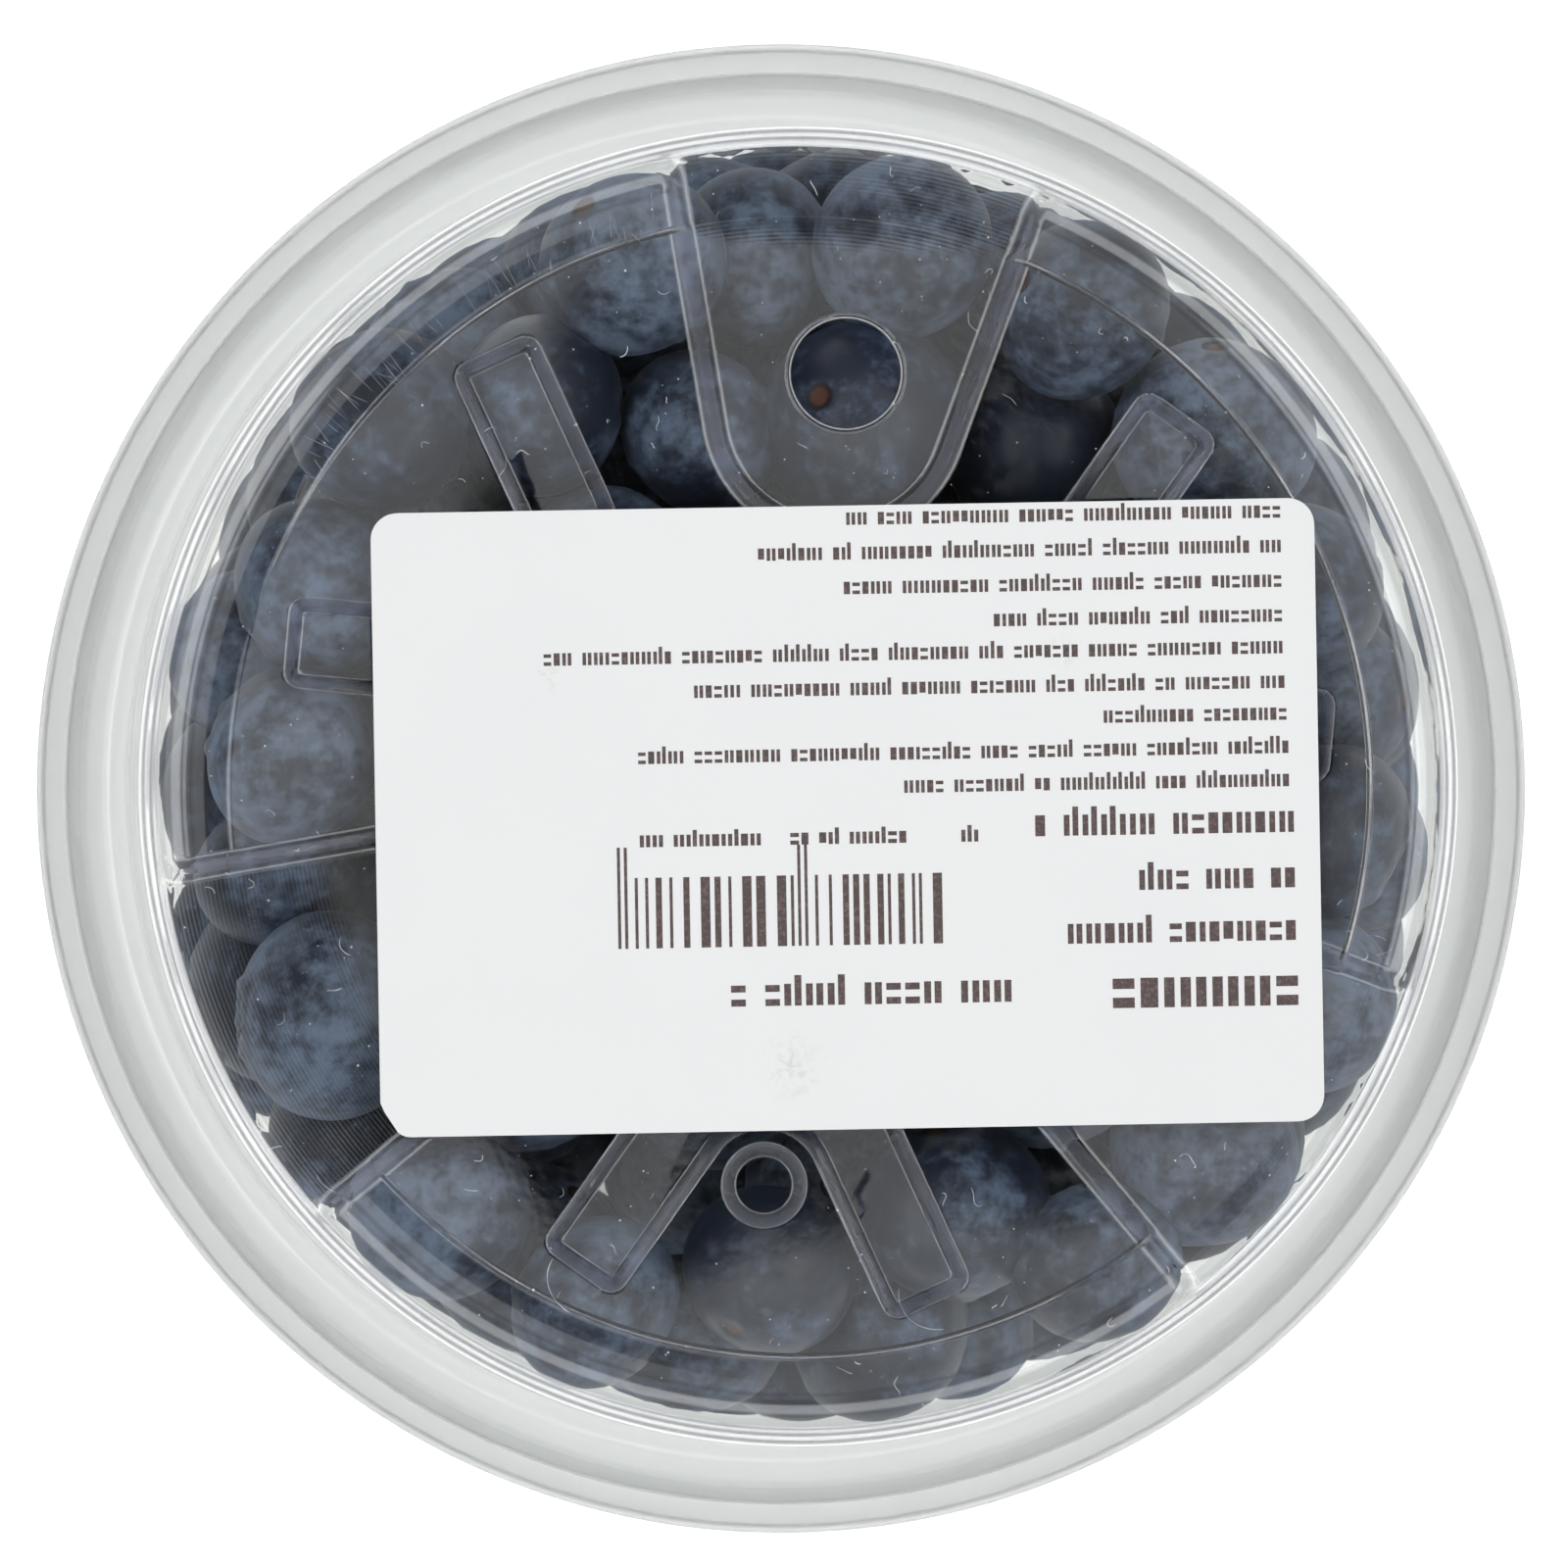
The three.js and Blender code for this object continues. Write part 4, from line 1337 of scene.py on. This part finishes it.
def inkMaterial():
    material, tree = newMaterial("thermalInk")
    grain = addNoise(tree, objectPlace(tree), 4000, 2, 0.6).outputs[0]
    color = addMix(tree, addRange(tree, grain, 0.45, 0.7), (0.060, 0.038, 0.036, 1), (0.13, 0.09, 0.085, 1))
    finishWith(tree, {"Base Color": color, "Roughness": 0.6})
    return material


def dustMaterial():
    # pale lint, a little greyer here and there
    material, tree = newMaterial("paleLint")
    cloud = addNoise(tree, objectPlace(tree), 700, 1, 0.5).outputs[0]
    color = addMix(tree, addRange(tree, cloud, 0.35, 0.65), (0.34, 0.35, 0.38, 1), (0.68, 0.69, 0.70, 1))
    finishWith(tree, {"Base Color": color, "Roughness": 0.8})
    return material


def floorMaterial():
    material, tree = newMaterial("paleFloor")
    finishWith(tree, {
        "Base Color": (0.7, 0.7, 0.7, 1), "Roughness": 0.9, "Specular IOR Level": 0.0,
        "Emission Color": (1, 1, 1, 1), "Emission Strength": 0.58,
    })
    return material


# The pieces

print("tub")
rimPlastic = clearPlastic("rimPlastic", **plastics["rim"])
tubPoints, tubFaces, tubNormals = tubMesh()
tubPiece = makePiece("tubShell", tubPoints, tubFaces, clearPlastic("tubPlastic", **plastics["tub"]),
                     normals=tubNormals)
markPoints(tubPiece, baseMarksAndShade(tubPoints))
dress(tubPiece, "tub", "tub")
print("lid")
lidPiece = makePiece("lidShell", *lidMesh(), clearPlastic("lidPlastic", **plastics["lid"]))
dress(lidPiece, "lid", "lid")
sortFaces(lidPiece, rimPlastic)
sortFaces(tubPiece, rimPlastic, *(clearPlastic(name, **plastics[part]) for name, part in (
    ("cutEdge", "cut"), ("wallPlastic", "wall"), ("cornerPlastic", "corner"), ("slopePlastic", "slope"))))

print("berries")
skin = berryMaterial()
places, radii = packBerries()
places = seatShown(places, radii)
lowerUnderBase(places, radii)
places, radii = backGaps(*fillGaps(places, radii))
turns = berryTurns(len(places))
draw = drawFrom(61)
tones = np.array([next(draw) for _ in places])
for i, tone in shownTones.items():
    tones[i] = tone
shown = np.arange(len(places)) < len(shownBerries)
swollen = radii * np.where(shown, 1.0, 1.03)
print("berries in all:", len(places))
detail = [berryShape(f"berryForm{i}", form, 50, 42, skin) for i, form in enumerate(berryForms)]
plain = [berryShape(f"berryPlain{i}", form, 25, 22, skin) for i, form in enumerate(berryForms)]
upper = scatterBerries("berriesUnderBase", places[shown], swollen[shown], turns[shown], tones[shown],
                       detail, skin)
others = scatterBerries("berriesBelow", places[~shown], swollen[~shown], turns[~shown], tones[~shown],
                        plain, skin)
for piece in (upper, others):
    settleUnderBase(piece)
dress(upper, "berries", "berries")
dress(others, "berries")
for form in detail + plain:
    bpy.data.objects.remove(form)

print("label")
dress(makePiece("labelPaper", *labelMesh(), paperMaterial(), smooth=False), "label", "label")
dress(makePiece("labelPrint", *printMesh(), inkMaterial(), smooth=False), "label")

print("dust")
dress(makePiece("dust", *dustMesh(), dustMaterial(), smooth=False), "tub")

print("stage")
floor = makePiece("floor", [(-900, -900, 0), (900, -900, 0), (900, 900, 0), (-900, 900, 0)], [[0, 1, 2, 3]],
                  floorMaterial())

studio = {
    # angle from the zenith and strength, all round
    "tent": [(0, 0.70), (11, 0.70), (15, 0.42), (23, 0.42), (27, 2.07), (41, 2.07), (46, 0.42), (60, 0.42),
             (74, 0.34), (90, 0.34)],
    # more of it on the left and on the right, which face the cut edge of the tent
    "sides": [(0, 0.0), (11.5, 0.0), (13.5, 1.5), (19, 1.5), (21, 0.2), (23, 0.85), (56, 0.85), (60, 0.0),
              (90, 0.0)],
    "sideHalf": 40.0, "soft": 8.0,
    "lens": 0.02, "lensFrom": 2.75, "lensTo": 3.35,
}


rampTop = 4.0    # the strength that a ramp's white stands for


def addRamp(tree, height, rows):
    # strength by angle from the zenith, as a ramp over the height of the direction
    ramp = addNode(tree, "ShaderNodeValToRGB", {0: height})
    stops = ramp.color_ramp.elements
    rows = sorted((math.cos(math.radians(angle)), strength / rampTop) for angle, strength in rows)
    for i, (place, value) in enumerate(rows):
        stop = stops[i] if i < 2 else stops.new(place)
        stop.position = place
        stop.color = (value, value, value, 1)
    return ramp.outputs["Color"]


def studioWorld():
    # a white tent under a round light, stronger on the left and right, with a small opening for the lens
    world = bpy.data.worlds.new("studio")
    world.use_nodes = True
    tree = world.node_tree
    tree.nodes.clear()
    way = addNode(tree, "ShaderNodeTexCoord").outputs["Generated"]
    across, _, height = addNode(tree, "ShaderNodeSeparateXYZ", {0: way}).outputs
    square = addMath(tree, "MULTIPLY", height, height)
    spread = addMath(tree, "SQRT", addMath(tree, "MULTIPLY_ADD", square, -1.0, 1.0))
    sideways = addMath(tree, "DIVIDE", addMath(tree, "ABSOLUTE", across), spread)
    level = lambda degrees: math.cos(math.radians(degrees))
    wide = addRange(tree, sideways, level(studio["sideHalf"] + studio["soft"]), level(studio["sideHalf"]))
    tent = addMath(tree, "MULTIPLY_ADD", addRamp(tree, height, studio["sides"]), wide,
                   addRamp(tree, height, studio["tent"]))
    opening = addRange(tree, height, level(studio["lensTo"]), level(studio["lensFrom"]), rampTop,
                       rampTop * studio["lens"])
    seen = addNode(tree, "ShaderNodeLightPath").outputs["Is Camera Ray"]
    light = addNode(tree, "ShaderNodeBackground", {"Color": (0.98, 0.99, 1.0, 1),
                                                   "Strength": addMath(tree, "MULTIPLY", tent, opening)})
    plain = addNode(tree, "ShaderNodeBackground", {"Color": (1, 1, 1, 1), "Strength": 1.0})
    mixed = addNode(tree, "ShaderNodeMixShader", {0: seen, 1: light.outputs[0], 2: plain.outputs[0]})
    addNode(tree, "ShaderNodeOutputWorld", {"Surface": mixed.outputs[0]})
    world.cycles.sampling_method = "NONE"
    bpy.context.scene.world = world


studioWorld()


def placeCamera():
    data = bpy.data.cameras.new("camera")
    camera = bpy.data.objects.new("camera", data)
    bpy.context.scene.collection.objects.link(camera)
    middle = shot["frame"] / 2
    aim = Vector(((middle - shot["baseAt"][0]) / shot["scale"], (shot["baseAt"][1] - middle) / shot["scale"],
                  topPlane))
    spot = aim + Vector((-shot["leanX"], -shot["leanY"], shot["distance"]))
    forward = (aim - spot).normalized()
    right = forward.cross(Vector((0, 1, 0))).normalized()
    up = right.cross(forward)
    camera.rotation_mode = "QUATERNION"
    camera.rotation_quaternion = Matrix((right, up, -forward)).transposed().to_quaternion()
    camera.location = spot * mm
    data.sensor_width = 36
    data.lens = data.sensor_width * (aim - spot).length * shot["scale"] / shot["frame"]
    data.clip_start, data.clip_end = 0.01, 10
    bpy.context.scene.camera = camera


placeCamera()
scene = bpy.context.scene
scene.view_settings.view_transform = "Standard"
scene.view_settings.look = "None"
scene.cycles.max_bounces = 10
scene.cycles.diffuse_bounces = 1
scene.cycles.glossy_bounces = 3
scene.cycles.transmission_bounces = 9
scene.cycles.transparent_max_bounces = 20
scene.cycles.caustics_reflective = False
scene.cycles.caustics_refractive = False

print("done")
